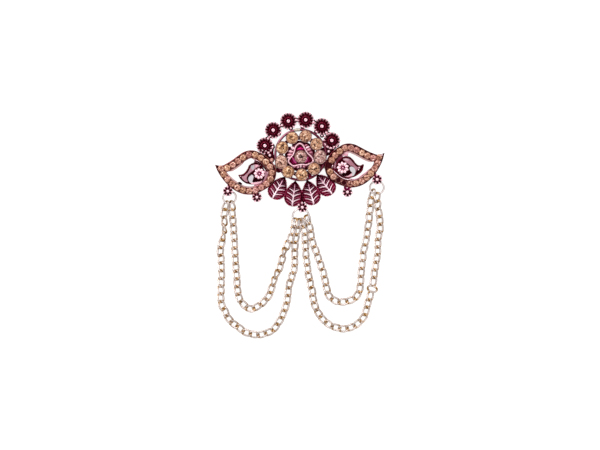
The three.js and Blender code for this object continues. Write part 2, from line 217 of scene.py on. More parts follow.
def evenly(line, count, closed=False):     # places spaced evenly along a line, and the way it runs there
    line = np.vstack((line, line[:1])) if closed else line
    length = distances(line)[-1]
    at = length * np.arange(count) / (count if closed else count - 1)
    return onLine(line, at, 0.01 * length / count)[:2]


def onCircle(radius, angle, centre=(0, 0)):
    return np.array([centre[0] + radius * math.cos(angle), centre[1] + radius * math.sin(angle)])


def inCasting(points):
    x, y, z = points.T
    c, s = math.cos(castingTurn), math.sin(castingTurn)
    return np.column_stack((x * c - y * s + ringCentre[0], x * s + y * c + ringCentre[1], z + backHeight))


class Piece:
    # gathers shells with their finishes and makes one object of them
    def __init__(self, name, place=inCasting, sharpAngle=38, side=1):
        self.name, self.place, self.sharpAngle, self.side = name, place, sharpAngle, side
        self.finishes, self.points, self.faces, self.finishOf, self.tones, self.tints = [], [], [], [], [], []
        self.count = 0

    def add(self, shell, finish, tone=0.5, tint=0.5):
        points, faces = mirrored(shell, self.side)
        if finish not in self.finishes:
            self.finishes.append(finish)
        self.points.append(points)
        self.faces += [[index + self.count for index in face] for face in faces]
        self.finishOf += [self.finishes.index(finish)] * len(faces)
        self.tones.append(np.broadcast_to(tone, len(points)))
        self.tints.append(np.broadcast_to(tint, len(faces)))
        self.count += len(points)

    def make(self, slotName, *nodes):
        points = np.concatenate(self.points)
        points = (self.place(points) if self.place else points) * mm
        mesh = bpy.data.meshes.new(self.name)
        mesh.from_pydata(points.tolist(), [], self.faces)
        mesh.polygons.foreach_set('material_index', self.finishOf)
        for name, domain, values in (('tone', 'POINT', self.tones), ('tint', 'FACE', self.tints)):
            layer = mesh.attributes.new(name, 'FLOAT', domain)
            layer.data.foreach_set('value', np.concatenate(values).astype(np.float32))
        work = bmesh.new()
        work.from_mesh(mesh)
        bmesh.ops.recalc_face_normals(work, faces=work.faces)
        work.to_mesh(mesh)
        work.free()
        mesh.polygons.foreach_set('use_smooth', [True] * len(mesh.polygons))
        mesh.set_sharp_from_angle(angle=math.radians(self.sharpAngle))
        for finish in self.finishes:
            mesh.materials.append(finishes[finish])
        piece = bpy.data.objects.new(self.name, mesh)
        bpy.context.scene.collection.objects.link(piece)
        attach(piece, "root")
        if nodes:
            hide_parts(*nodes)


# Finishes.

def linear(colour):
    parts = [int(colour[i:i + 2], 16) / 255 for i in (1, 3, 5)]
    return tuple(p / 12.92 if p <= 0.04045 else ((p + 0.055) / 1.055) ** 2.4 for p in parts) + (1,)


class Wire:
    # a socket that can be written into a sum
    def __init__(self, look, socket):
        self.look, self.socket = look, socket

    def sum(self, operation, first, second):
        return self.look.node('Math', {'operation': operation}, {0: first, 1: second})

    def __add__(self, other):
        return self.sum('ADD', self, other)

    def __radd__(self, other):
        return self.sum('ADD', other, self)

    def __sub__(self, other):
        return self.sum('SUBTRACT', self, other)

    def __rsub__(self, other):
        return self.sum('SUBTRACT', other, self)

    def __mul__(self, other):
        return self.sum('MULTIPLY', self, other)

    def __rmul__(self, other):
        return self.sum('MULTIPLY', other, self)


class Look:
    # one material and its nodes
    def __init__(self, name):
        self.material = bpy.data.materials.new(name)
        self.material.use_nodes = True
        self.tree = self.material.node_tree
        self.tree.nodes.clear()
        self.coords = self.node('TexCoord', output='Object')

    def node(self, kind, settings=None, sockets=None, output=0):
        made = self.tree.nodes.new('ShaderNode' + kind)
        for name, value in (settings or {}).items():
            if name != 'stops':
                setattr(made, name, value)
                continue
            for _ in value[2:]:
                made.color_ramp.elements.new(1.0)
            for element, (place, colour) in zip(made.color_ramp.elements, value):
                element.position, element.color = place, linear(colour)
        for name, value in (sockets or {}).items():
            if isinstance(value, Wire):
                self.tree.links.new(value.socket, made.inputs[name])
            else:
                made.inputs[name].default_value = value
        return Wire(self, made.outputs[output]) if len(made.outputs) else None

    def noise(self, size, detail=2):                       # size in mm
        sockets = {'Vector': self.coords, 'Scale': 1 / (size * mm), 'Detail': detail}
        return self.node('TexNoise', {}, sockets, 'Fac')

    def attribute(self, name):
        return self.node('Attribute', {'attribute_name': name}, {}, 'Fac')

    def ramp(self, value, stops):
        return self.node('ValToRGB', {'stops': stops}, {'Fac': value}, 'Color')

    def clamp(self, value):
        return self.node('Clamp', {}, {'Value': value})

    def mix(self, share, first, second):
        return self.node('Mix', {'data_type': 'RGBA'}, {0: share, 6: first, 7: second}, 2)

    def underside(self):                                   # 1 on faces that look down
        normal = self.node('NewGeometry', output='Normal')
        z = self.node('SeparateXYZ', {}, {0: normal}, 'Z')
        return self.clamp((z + 0.6) * -4.0)

    def finish(self, colour, roughness, metallic, bump=None, bumpDepth=0.02, **fixed):
        sockets = {'Base Color': colour, 'Roughness': roughness, 'Metallic': metallic}
        if bump:
            depth = {'Strength': 0.6, 'Distance': bumpDepth * mm, 'Height': bump}
            sockets['Normal'] = self.node('Bump', {}, depth)
        sockets.update({name.replace('_', ' '): value for name, value in fixed.items()})
        shader = self.node('BsdfPrincipled', {}, sockets)
        self.node('OutputMaterial', {}, {'Surface': shader})
        return self.material


enamelLooks = {
    'maroon': {
        'stops': [(0.0, '#1c0005'), (0.25, '#40030f'), (0.5, '#70122c'), (0.75, '#ac4863'), (1.0, '#eaa6b4')],
        'mottle': 0.5, 'grain': 0.12, 'rough': 0.34},
    'leaf': {
        'stops': [(0.0, '#190004'), (0.2, '#440315'), (0.45, '#851639'), (0.7, '#c24c72'), (1.0, '#f0acbf')],
        'mottle': 0.45, 'grain': 0.12, 'rough': 0.32},
    'magenta': {
        'stops': [(0.0, '#3a0014'), (0.35, '#7c0a40'), (0.6, '#b52268'), (0.85, '#d865a2'), (1.0, '#fbbcd6')],
        'mottle': 0.7, 'grain': 0.15, 'rough': 0.3},
    'mauve': {
        'stops': [(0.0, '#58192d'), (0.35, '#955064'), (0.65, '#cc92a2'), (1.0, '#f3d8df')],
        'mottle': 1.1, 'grain': 0.15, 'rough': 0.36},
    'frame': {
        'stops': [(0.0, '#2c050a'), (0.3, '#5f1f27'), (0.5, '#8d4c49'), (0.75, '#c59289'), (1.0, '#f4e2df')],
        'mottle': 0.55, 'grain': 0.12, 'rough': 0.4},
}
backMetal = {'colour': '#8d7468', 'rough': 0.45}


def enamel(name, look):
    m = Look(name)
    # the tone attribute picks the colour on the ramp: the enamel's own shades and, where parts paint them,
    # painted highlights and painted shade
    depth = m.attribute('tone') + (m.noise(look['mottle'], 3) - 0.5) * 0.22
    under = m.underside()
    colour = m.mix(under, m.ramp(depth, look['stops']), linear(backMetal['colour']))
    rough = look['rough'] + (m.noise(look['grain']) - 0.5) * 0.22
    rough = rough + under * (backMetal['rough'] - look['rough'])
    return m.finish(colour, rough, 0.75, bump=m.noise(look['grain'], 3), bumpDepth=0.012,
                    Specular_IOR_Level=0.1, Specular_Tint=(0.75, 0.35, 0.42, 1))


# Bead metal: bright pink-white, darker in the creases
beadLooks = {
    'bead': {'stops': [(0.0, '#6a1a34'), (0.35, '#b5607a'), (0.65, '#eaa8b8'), (1.0, '#ffdde4')],
             'wear': 0.3, 'grain': 0.1},
    'vein': {'stops': [(0.0, '#5c1230'), (0.35, '#a8607c'), (0.65, '#d9abbb'), (1.0, '#f8e2e8')],
             'wear': 0.5, 'grain': 0.12},
}


def beadMetal(name, look):
    m = Look(name)
    depth = m.attribute('tone') + (m.noise(look['wear'], 3) - 0.5) * 0.22
    rough = 0.3 + (m.noise(look['grain']) - 0.5) * 0.25
    return m.finish(m.ramp(depth, look['stops']), rough, 0.35, bump=m.noise(look['grain']), bumpDepth=0.01)


# Cut glass: painted reflections of the facets behind show as light and dark flecks, and tone turns gold to
# smoky pink
glassLooks = {
    'champagne': {
        'clear': [(0, '#2e1508'), (0.18, '#6e4028'), (0.45, '#b68258'), (0.72, '#d9a67c'), (1, '#ffe2be')],
        'smoky': [(0, '#2c1412'), (0.18, '#6a3f3a'), (0.45, '#a87870'), (0.72, '#cda098'), (1, '#ffe4dc')],
        'reflectionFleck': 0.55, 'cloud': 1.2},
    'topaz': {
        'clear': [(0, '#3a160c'), (0.2, '#774430'), (0.5, '#aa7457'), (0.75, '#c99576'), (1, '#f2ccb2')],
        'smoky': [(0, '#3c100f'), (0.2, '#80403a'), (0.5, '#b07068'), (0.75, '#cc9086'), (1, '#f4cac2')],
        'reflectionFleck': 0.42, 'cloud': 0.8},
}


def cutGlass(name, look):
    m = Look(name)
    cells = m.node('TexVoronoi', {}, {'Vector': m.coords, 'Scale': 1 / (look['reflectionFleck'] * mm)}, 'Color')
    reflectionFleck = m.node('SeparateXYZ', {}, {0: cells}, 'X')
    # painted reflection: the facet tints and the fleck cells lighten and darken the glass as the reflections
    # in its facets would
    light = m.attribute('tint') + (reflectionFleck - 0.5) * 0.62 + (m.noise(look['cloud']) - 0.5) * 0.4
    colour = m.mix(m.attribute('tone'), m.ramp(light, look['clear']), m.ramp(light, look['smoky']))
    return m.finish(colour, 0.12 + m.noise(0.3) * 0.1, 0.1, IOR=1.5)


# Bare metals
metalLooks = {
    'ringSilver': {'stops': [(0.0, '#7a6866'), (0.5, '#b5a4a1'), (1.0, '#e4dad8')], 'rough': 0.3},
    'chainGold': {'stops': [(0.0, '#825822'), (0.3, '#b48a50'), (0.55, '#bdaea8'), (1.0, '#ddd2ce')],
                  'rough': 0.42},
    'wrapGold': {'stops': [(0.0, '#a3927a'), (0.5, '#d6cab8'), (1.0, '#f6efe2')], 'rough': 0.35},
    'swirlSilver': {'stops': [(0.0, '#8d8088'), (0.5, '#cdc4ca'), (1.0, '#fbf6fa')], 'rough': 0.32},
    'pinSteel': {'stops': [(0.0, '#6e6252'), (0.5, '#b8aa96'), (1.0, '#e8e0d4')], 'rough': 0.3},
}


def bareMetal(name, look):
    m = Look(name)
    # the tone attribute holds the metal's own shades and, on the wires that paint them, painted highlights
    # and painted shade
    depth = m.attribute('tone') + (m.noise(0.5, 3) - 0.5) * 0.25 + (m.attribute('tint') - 0.5) * 0.3
    rough = look['rough'] + (m.noise(0.12) - 0.5) * 0.2
    return m.finish(m.ramp(depth, look['stops']), rough, 0.8, bump=m.noise(0.15, 3), bumpDepth=0.008)


finishes = {name: beadMetal(f'{name}_metal', look) for name, look in beadLooks.items()}
finishes.update({name: enamel(f'{name}_lacquer', look) for name, look in enamelLooks.items()})
finishes.update({name: cutGlass(f'{name}_glass', look) for name, look in glassLooks.items()})
finishes.update({name: bareMetal(name, look) for name, look in metalLooks.items()})
print('finishes made')


# Wire ring, with the short wrapped length at its top.
wireRing = {'centreX': 0.4, 'radius': 10.05, 'wire': 0.5, 'height': 0.6, 'segments': 160, 'sides': 12,
            'litAt': 142, 'glintAt': 125, 'lit': 0.5, 'shade': 0.12}
ringWrap = {'x': -0.15, 'length': 2.2, 'turns': 7, 'coil': 0.5, 'wire': 0.17}


def makeWireRing():
    angle = circle * np.arange(wireRing['segments']) / wireRing['segments']
    path = around(wireRing['radius'], angle, wireRing['height']) + (wireRing['centreX'], 0, 0)
    section = circle * np.arange(wireRing['sides']) / wireRing['sides']      # 0 faces the middle of the ring
    # painted light: the tone paints the ring's upper left lit and the rest in shade, times a painted glint
    # along one side of the wire
    lit = np.clip(np.cos(angle - math.radians(wireRing['litAt'])) * 1.6 - 0.4, 0, 1)[:, None]
    glint = np.clip(np.cos(section - math.radians(wireRing['glintAt'])), 0, 1)[None, :] ** 2
    tone = (wireRing['lit'] * lit + wireRing['shade'] * (1 - lit)) * glint
    piece = Piece('wire_ring')
    piece.add(tube(path, wireRing['wire'], wireRing['sides'], closed=True), 'mauve', tone=tone.ravel())
    piece.make('plated_casting', 'brooch_body')

    t = np.linspace(0, 1, 14 * ringWrap['turns'] + 1)
    bend = math.pi / 2 + ((0.5 - t) * ringWrap['length'] - ringWrap['x']) / wireRing['radius']
    spin = circle * ringWrap['turns'] * t
    coil = around(wireRing['radius'] + ringWrap['coil'] * np.cos(spin), bend,
                  wireRing['height'] + ringWrap['coil'] * np.sin(spin))
    core = around(wireRing['radius'], bend[::7], wireRing['height'])
    piece = Piece('ring_wrap')
    piece.add(tube(coil, ringWrap['wire'], 7), 'wrapGold', tone=0.62)
    # painted shade: the core showing between the coil's turns is painted darkest, as shade in the gaps
    piece.add(tube(core, ringWrap['coil'] - 0.02, 10), 'wrapGold', tone=0.0)
    piece.make('plated_casting', 'brooch_body')


# Daisies: pointed petals on a dome, a bead on a stalk between each two, and a ringed bead in the eye.
daisy = {'x': [13.3, 9.75, 3.47, -3.48, -9.8, -13.55], 'y': [4.85, 10.8, 13.8, 13.8, 10.6, 4.65],
         'petals': 14, 'tip': 3.45, 'notch': 2.55, 'dish': 2.8, 'stalkFrom': 2.35, 'beadOrbit': 3.16,
         'bead': 0.38, 'eye': 0.64}
linkBead = {
    'x': [11.72, 11.56, 12.81, 14.13, 10.57, 15.25, -11.83, -12.17, -11.1, -13.3, -14.6, -0.39, -2.72, 2.0,
          -6.14, -12.12, -10.45, 6.48, 7.34, 11.2, -7.6, -10.9, 9.5, 12.3],
    'y': [0.63, 2.37, 1.84, 2.31, 3.38, 2.85, 0.7, 1.87, 2.8, 2.5, 2.9, 14.07, 10.9, 11.2, 12.39, 7.43,
          3.99, 12.88, 8.82, 8.15, 9.0, 8.3, 7.1, 7.6],
    'radius': [0.55, 0.38, 0.38, 0.38, 0.38, 0.34, 0.55, 0.38, 0.38, 0.36, 0.34, 0.48, 0.42, 0.42, 0.46,
               0.44, 0.42, 0.44, 0.42, 0.42, 0.36, 0.34, 0.36, 0.34],
    'seat': 0.45,
    'gusset': [(9.6, 4.6), (10.9, 5.4), (12.4, 3.4), (14.8, 3.4), (15.6, 2.4), (13.8, 1.0), (12.6, -0.4),
               (10.9, -1.2), (9.9, -0.9), (10.3, 1.8)],
}


def daisyShells(piece, centre, spin):
    petals = daisy['petals']
    rings, segments = 16, petals * 8

    def edge(angle):
        point = 1 - np.abs(np.sin(petals / 2 * (angle - spin)))
        return daisy['notch'] + (daisy['tip'] - daisy['notch']) * point ** 0.7

    def crease(angle):
        return np.cos(petals * (angle - spin))

    def height(share, angle):
        outer = np.clip(share * 3 - 1.7, 0, 1)
        inner = np.clip(1 - np.abs(share - 0.5) * 7, 0, 1)
        return 1.3 - 0.6 * share ** 1.7 + 0.12 * outer * crease(angle) - 0.13 * inner * crease(angle)

    shares = np.linspace(0, 1, rings + 1)[1:, None]
    angle = circle * np.arange(segments)[None, :] / segments
    # painted light: the tone paints pink highlights on the outer petal ridges and the raised inner petals,
    # and a ring of painted shade in the crease round the eye; the outer furrows are painted a little lighter
    ridge = np.clip(crease(angle), 0, 1) ** 3
    furrow = np.clip(-crease(angle), 0, 1) ** 2
    inner = np.clip(1 - np.abs(shares - 0.55) * 6, 0, 1)
    outer = np.clip((shares - 0.68) * 5, 0, 1)
    tone = 0.13 + 0.72 * inner * furrow + 0.3 * outer * ridge * np.clip((1.04 - shares) * 8, 0, 1)
    tone = tone - 0.12 * np.clip(1 - np.abs(shares - 0.33) * 12, 0, 1) + 0.12 * outer * furrow
    tone = np.concatenate((tone.ravel(), np.full(segments, 0.1), [0.1, 0.1]))
    piece.add(relief(centre, edge, height, rings, segments), 'maroon', tone=tone)
    piece.add(relief(centre, lambda a: daisy['dish'] + 0 * a, lambda s, a: 0.4 - 0.1 * s ** 6, 3, 28),
              'maroon', tone=0.1)
    for i in range(petals):
        angle = spin + circle * (i + 0.5) / petals
        inside, out = onCircle(daisy['stalkFrom'], angle, centre), onCircle(daisy['beadOrbit'], angle, centre)
        piece.add(tube([(*inside, 0.6), (*out, 0.62)], [0.12, 0.15], 6), 'bead', tone=0.42)
        piece.add(ball((*out, 0.66), daisy['bead']), 'bead', tone=0.7)
    eye = daisy['eye']
    piece.add(turned([(0, 0.9), (eye + 0.2, 0.9), (eye + 0.16, 1.22), (eye - 0.05, 1.34), (0, 1.34)], 24,
                     (*centre, 0)), 'maroon', tone=0.05)
    piece.add(torus((*centre, 1.4), eye * 0.62, 0.26, 24, 8), 'bead', tone=0.8)
    piece.add(ball((*centre, 1.42), eye * 0.4), 'bead', tone=0.3)


def makeDaisies():
    for i, centre in enumerate(zip(daisy['x'], daisy['y'])):
        piece = Piece(f'daisy_{i + 1}')
        outward = math.atan2(centre[1], centre[0])
        daisyShells(piece, centre, outward + math.pi / daisy['petals'])
        piece.make('plated_casting', 'brooch_body')

    piece = Piece('link_beads')
    for x, y, radius in zip(linkBead['x'], linkBead['y'], linkBead['radius']):
        seat = radius + linkBead['seat']
        piece.add(turned([(0, 0), (seat, 0), (seat + 0.05, 0.35), (seat - 0.15, 0.55), (0, 0.6)], 18,
                         (x, y, 0)), 'maroon', tone=0.14)
        piece.add(ball((x, y, 0.75), radius, 8, 14), 'bead', tone=0.9)
    for side in (1, -1):            # the gusset that ties the last daisy, the ring and the frame together
        gusset = drop(linkBead['gusset'], [(0, 0), (0, 0.42), (0.12, 0.5)], 3)
        piece.add(mirrored(gusset, side), 'maroon', tone=0.16)
    piece.make('plated_casting', 'brooch_body')


makeWireRing()
makeDaisies()
print('ring and daisies made')


# Set stones: nine round the ring and one in the centre, each in its cup, and the web that carries the cups.
setStone = {'count': 9, 'radius': 2.24, 'seat': 0.92, 'heights': (0, 0.95, 1.1, 1.9), 'sides': 16,
            'reflectionFlecks': 0.3, 'contrast': 1.15, 'centreReflectionFlecks': 0.6, 'centreContrast': 1.5, 'seed': 100,
            'smoky': [0.1, 0.35, 0.3, 1.0, 0.3, 0.1, 0.1, 0.7, 0.05, 1.0],
            'shiftX': [0.3, 0.3, 0.2, 0.15, 0.0, 0.0, -0.2, 0.12, 0.1, 0.12],
            'shiftY': [-0.05, 0.1, 0.0, 0.1, 0.3, 0.2, 0.05, -0.4, -0.1, 0.1],
            'tall': [1, 1, 1, 1.13, 1, 1, 1, 1.13, 1.04, 1]}
cup = {'outer': 2.56, 'bore': 2.33, 'floor': 0.8, 'rim': 2.0, 'segments': 44,
       'tone': [0.1, 0.1, 0.05, 0.05, 0.4, 0.8, 0.8, 0.25, 0.1]}
web = {'centre': (0.3, -0.45, 0), 'inner': 4.3, 'outer': 6.2, 'top': 0.7, 'segments': 72,
       'holeAt': 128, 'holeWidth': 7, 'holeDepth': 1.1, 'postsCentre': (0.15, -0.3),
       'at': [89, 49, 9, 9, -30, -30, -68, -68, -107, -146, -146, -150, 173, 131],
       'orbit': [7.1, 7.6, 7.6, 9.0, 7.4, 9.0, 7.6, 9.0, 7.5, 7.5, 9.0, 10.3, 7.5, 7.6],
       'radius': [0.85, 0.85, 1.0, 1.25, 1.0, 1.25, 0.9, 0.85, 0.85, 1.0, 1.25, 1.1, 0.85, 0.75],
       'tone': [0.2, 0.15, 0.15, 0.15, 0.2, 0.22, 0.2, 0.45, 0.25, 0.2, 0.35, 0.25, 0.25, 0.2]}


def inOwnFrame(node):
    low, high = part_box(node)           # the middle of a node, in the casting's own frame
    x, y = (low[0] + high[0]) / 2 / mm - ringCentre[0], (low[1] + high[1]) / 2 / mm - ringCentre[1]
    c, s = math.cos(castingTurn), math.sin(castingTurn)
    return np.array([x * c + y * s, y * c - x * s])


def cutStone(radius, heights, sides, spin, rng, reflectionFlecks):
    # base, pavilion, girdle and crown up to the table, whose wedges carry painted reflections of the back
    # facets: dark flecks and bright sparkles
    base, girdle, bezel, table = heights
    half = sides // 2

    def ring(reach, z, count, shift=0.0):
        return around(reach, spin + circle * (np.arange(count) + shift) / count, z)
    points = np.vstack((
        ring(radius * 0.45, base, sides), ring(radius, girdle, sides), ring(radius, bezel, sides),
        ring(radius * 0.8, bezel + (table - bezel) * 0.6, half, 0.5), ring(radius * 0.6, table, half),
        ring(radius * 0.32, table + 0.03, half, 0.5), [[0, 0, base], [0, 0, table + 0.01]]))
    low, wide, top, star, flat, core = 0, sides, 2 * sides, 3 * sides, 3 * sides + half, 3 * sides + 2 * half
    baseTip, tableTip = core + half, core + half + 1
    faces, tints = [], []

    def face(corners, tint):
        faces.append(corners)
        tints.append(tint)
    for i in range(sides):
        j = (i + 1) % sides
        face([low + i, low + j, baseTip], 0.3)
        face([low + i, low + j, wide + j, wide + i], 0.3)
        face([wide + i, wide + j, top + j, top + i], 0.35)
    for i in range(half):
        j = (i + 1) % half
        corner, middle, after = top + 2 * i, top + 2 * i + 1, top + (2 * i + 2) % sides
        face([corner, middle, star + i], 0.5 + 0.25 * rng.random())
        face([middle, after, star + i], 0.42 + 0.3 * rng.random())
        face([corner, star + i, flat + i], 0.4 + 0.35 * rng.random())
        face([star + i, after, flat + j], 0.3 + 0.4 * rng.random())
        # painted reflection: a few star facets are painted bright as sparkles, and some table wedges and the
        # middle are painted dark as flecks
        face([star + i, flat + j, flat + i], 0.95 if rng.random() > 0.85 else 0.4 + 0.3 * rng.random())
        face([flat + i, flat + j, core + i], 0.3 + 0.4 * rng.random())
        face([flat + j, core + j, core + i], 0.05 if rng.random() < reflectionFlecks else 0.4 + 0.35 * rng.random())
        face([core + i, core + j, tableTip], 0.0 if rng.random() < reflectionFlecks * 1.3 else 0.3 + 0.5 * rng.random())
    return (points, faces), np.array(tints)


def makeSetStones():
    cups = Piece('stone_cups')
    outer, bore, rim = cup['outer'], cup['bore'], cup['rim']
    cupShell = turned([
        (0, 0), (outer - 0.15, 0), (outer - 0.03, 0.25), (outer, 1.4), (outer - 0.02, rim - 0.2),
        (outer - 0.08, rim - 0.04), (outer - 0.13, rim), (bore + 0.03, rim - 0.02), (bore, rim - 0.2),
        (bore, cup['floor']), (0, cup['floor'])], cup['segments'])
    cupTone = np.append(np.repeat(cup['tone'], cup['segments']), [0.1, 0.1])
    nodes = [f'ring_stone_{i + 1}' for i in range(setStone['count'])] + ['centre_stone']
    for i, node in enumerate(nodes):
        last = node == 'centre_stone'
        centre = inOwnFrame(node) + (setStone['shiftX'][i], setStone['shiftY'][i])
        stretch = np.array([1, setStone['tall'][i], 1])
        rng = random.Random(setStone['seed'] + i)
        spin = rng.random() * 6
        shell, tints = cutStone(setStone['radius'], setStone['heights'], setStone['sides'], spin, rng,
                                setStone['centreReflectionFlecks' if last else 'reflectionFlecks'])
        tints = 0.45 + (tints - 0.5) * setStone['centreContrast' if last else 'contrast']
        piece = Piece(f'{node}_glass', sharpAngle=3)
        piece.add(moved((shell[0] * stretch, shell[1]), (*centre, setStone['seat'])), 'champagne',
                  tone=setStone['smoky'][i], tint=tints)
        piece.make('champagne_stone', node)
        cups.add(moved((cupShell[0] * stretch, cupShell[1]), (*centre, 0)), 'frame', tone=cupTone)
    cups.make('plated_casting', 'brooch_body')

    piece = Piece('stone_web')
    angle = circle * np.arange(web['segments']) / web['segments']
    away = (np.degrees(angle) - web['holeAt'] + 180) % 360 - 180
    outer = web['outer'] - web['holeDepth'] * np.exp(-(away / web['holeWidth']) ** 2)
    rings = [(web['inner'], 0.0), (web['inner'], web['top']), (outer - 0.1, web['top']),
             (outer, web['top'] - 0.1), (outer, 0.0)]
    grid = np.stack([around(reach, angle, z) + web['centre'] for reach, z in rings], axis=1)
    piece.add((grid.reshape(-1, 3), gridFaces(web['segments'], len(rings), True, True)), 'maroon', tone=0.16)
    for at, orbit, radius, tone in zip(web['at'], web['orbit'], web['radius'], web['tone']):
        centre = onCircle(orbit, math.radians(at), web['postsCentre'])
        post = turned([(0, 0), (radius, 0), (radius, 0.85), (radius - 0.15, 0.98), (0, 1.02)], 20,
                      (*centre, 0))
        piece.add(post, 'maroon', tone=tone)
    piece.make('plated_casting', 'brooch_body')


makeSetStones()
print('set stones made')


# Centre motif: a rope triangle round the centre stone, magenta lobes inside it and petal fans outside.
# dip is (angle, depth, width); lobe and fan are (base, tip, width, tone)
motif = {
    'centre': (0.38, -0.39), 'plateRadius': 5.05, 'plateTop': 0.95, 'dips': [(135, 1.0, 13), (62, 0.8, 9)],
    'ropeHeight': 1.45, 'rope': 0.28, 'twist': 1.9,
    'stem': [(0.27, -3.95, 1.4), (0.24, -4.6, 1.2), (0.2, -5.25, 0.95)], 'stemWire': [0.3, 0.26, 0.2],
    'lobes': [((-1.15, 2.3), (1.95, 2.3), 1.4, 0.56), ((-3.1, -0.5), (-1.4, -3.3), 1.25, 0.72),
              ((-3.7, -1.7), (-2.4, -3.5), 0.8, 0.3), ((3.5, -0.7), (1.9, -3.3), 1.25, 0.74),
              ((4.3, -1.9), (3.1, -3.4), 0.8, 0.25), ((-0.4, 3.35), (1.1, 3.35), 0.7, 0.1)],
    'fans': [((-1.5, 2.3), (-3.3, 3.5), 1.2, 0.85), ((-2.0, 1.3), (-4.5, 1.9), 1.05, 0.75),
             ((-2.6, 0.4), (-4.9, 0.4), 1.1, 0.55), ((-3.5, -0.8), (-5.1, -0.8), 0.9, 0.8),
             ((-2.4, 1.9), (-3.9, 2.7), 0.4, 0.1), ((-3.0, 0.9), (-4.8, 1.1), 0.4, 0.1),
             ((1.9, 3.4), (3.5, 4.0), 0.8, 0.45), ((2.3, 2.4), (4.4, 3.2), 1.0, 0.85),
             ((2.8, 1.5), (4.9, 2.1), 0.95, 0.6), ((3.6, 0.5), (5.3, 0.8), 1.0, 0.4),
             ((2.4, 2.9), (3.9, 3.8), 0.4, 0.08), ((3.4, 1.1), (5.1, 1.4), 0.4, 0.08),
             ((-0.6, -4.2), (-1.1, -5.4), 0.9, 0.7), ((-1.6, -4.3), (-2.9, -4.9), 0.75, 0.45),
             ((1.1, -4.2), (1.7, -5.3), 0.85, 0.55), ((2.2, -4.2), (3.1, -4.6), 0.7, 0.35)],
}
rope = {
    'x': [-4.5, -3.78, -2.92, -2.25, -1.88, -1.61, -1.2, -0.75, -0.3, 0.22, 0.72, 1.2, 1.62, 2.28, 2.79,
          3.52, 4.36, 5.1, 5.3, 5.15, 4.5, 3.75, 3.03, 2.12, 1.13, 0.13, -0.87, -1.89, -2.9, -3.6, -4.25,
          -4.55],
    'y': [-1.8, -1.0, -0.16, 0.8, 1.78, 2.76, 3.5, 3.95, 4.3, 4.52, 4.5, 4.2, 3.75, 2.49, 1.25, 0.19, -0.67,
          -1.7, -2.4, -3.0, -3.55, -3.75, -3.98, -4.1, -3.87, -3.83, -3.93, -4.14, -4.12, -3.6, -2.9, -2.3],
}


def petal(base, tip, width, height, low):
    base, tip = np.array(base, float), np.array(tip, float)
    along = tip - base
    across = np.array([-along[1], along[0]]) / np.linalg.norm(along) * width / 2
    shares = np.linspace(0.02, 0.98, 9)
    spread = np.linspace(-1, 1, 7)
    grid = np.zeros((len(shares), len(spread), 3))
    for r, share in enumerate(shares):
        reach = math.sin(math.pi * share ** 1.3) ** 0.7
        for c, s in enumerate(spread):
            grid[r, c, :2] = base + along * share + across * reach * s
            swell = 0.5 + 0.5 * math.sin(math.pi * share)
            grid[r, c, 2] = low + (height - low) * (1 - 0.75 * s * s) * swell
    return slab(grid, 0.2)


def makeMotif():
    def edge(angle):
        dips = sum(depth * np.exp(-((np.degrees(angle) - at) / width) ** 2)
                   for at, depth, width in motif['dips'])
        return motif['plateRadius'] - dips + 0.1 * np.cos(9 * angle)
    piece = Piece('centre_motif')
    plate = relief(motif['centre'], edge, lambda s, a: motif['plateTop'] - 0.15 * s ** 8, 6, 90)
    piece.add(plate, 'mauve', tone=0.16)

    corners = np.column_stack((rope['x'], rope['y']))
    piece.add(drop(corners, [(0.1, 0.5), (0.1, 1.1), (0.3, 1.18)]), 'maroon', tone=0.32)
    line = smoothLine(corners, 5, closed=True)
    strand = np.sin(np.arange(len(line)) * motif['twist'])
    run = np.column_stack((line, np.full(len(line), motif['ropeHeight'])))
    piece.add(tube(run, motif['rope'] * (1 + 0.1 * strand), 9, closed=True), 'bead',
              tone=np.repeat(0.82 + 0.12 * strand, 9))
    piece.add(tube(motif['stem'], motif['stemWire'], 10), 'bead', tone=0.95)
    for petals, finish, height, low in (('lobes', 'magenta', 1.5, 1.1), ('fans', 'bead', 1.35, 0.85)):
        for base, tip, width, tone in motif[petals]:
            piece.add(petal(base, tip, width, height, low), finish, tone=tone)
    piece.make('plated_casting', 'brooch_body')


makeMotif()
print('centre motif made')


# Leaves, from the point at the ring to the round end, with a midrib, curved veins and a milled edge.
leaf = {
    'tipX': [2.3, 6.3], 'tipY': [-10.0, -8.1], 'endX': [4.35, 11.95], 'endY': [-20.2, -16.5],
    'halfWidth': 3.6, 'edge': 0.62, 'crown': 1.02, 'midrib': 0.33, 'grain': 0.25, 'grains': 38,
    'ripples': 10.5,
    'veinFrom': [0.47, 0.65, 0.87, 0.3, 0.38, 0.56, 0.76, 0.96],
    'veinOut': [0.72, 0.78, 0.74, 0.5, 0.86, 0.9, 0.9, 0.8],
    'veinBack': [0.13, 0.16, 0.18, 0.1, 0.11, 0.14, 0.17, 0.14],
    'veinWire': [0.27, 0.31, 0.28, 0.08, 0.08, 0.09, 0.09, 0.1],
    'veinTone': [0.84, 0.88, 0.86, 0.3, 0.3, 0.32, 0.35, 0.45],
}


def leafWidth(t):
    # share along the leaf and half width at t, 0 at the point and 1 at the round end
    first = t < 0.5
    u = np.where(first, t * 2, t * 2 - 1)

    def curve(a, b, c, d):
        return (1 - u) ** 3 * a + 3 * (1 - u) ** 2 * u * b + 3 * (1 - u) * u * u * c + u ** 3 * d
    share = np.where(first, curve(0, 0.12, 0.38, 0.64), curve(0.64, 0.84, 1, 1))
    width = np.where(first, curve(0, 0.3, 1, 1), curve(1, 1, 0.6, 0))
    return share, width


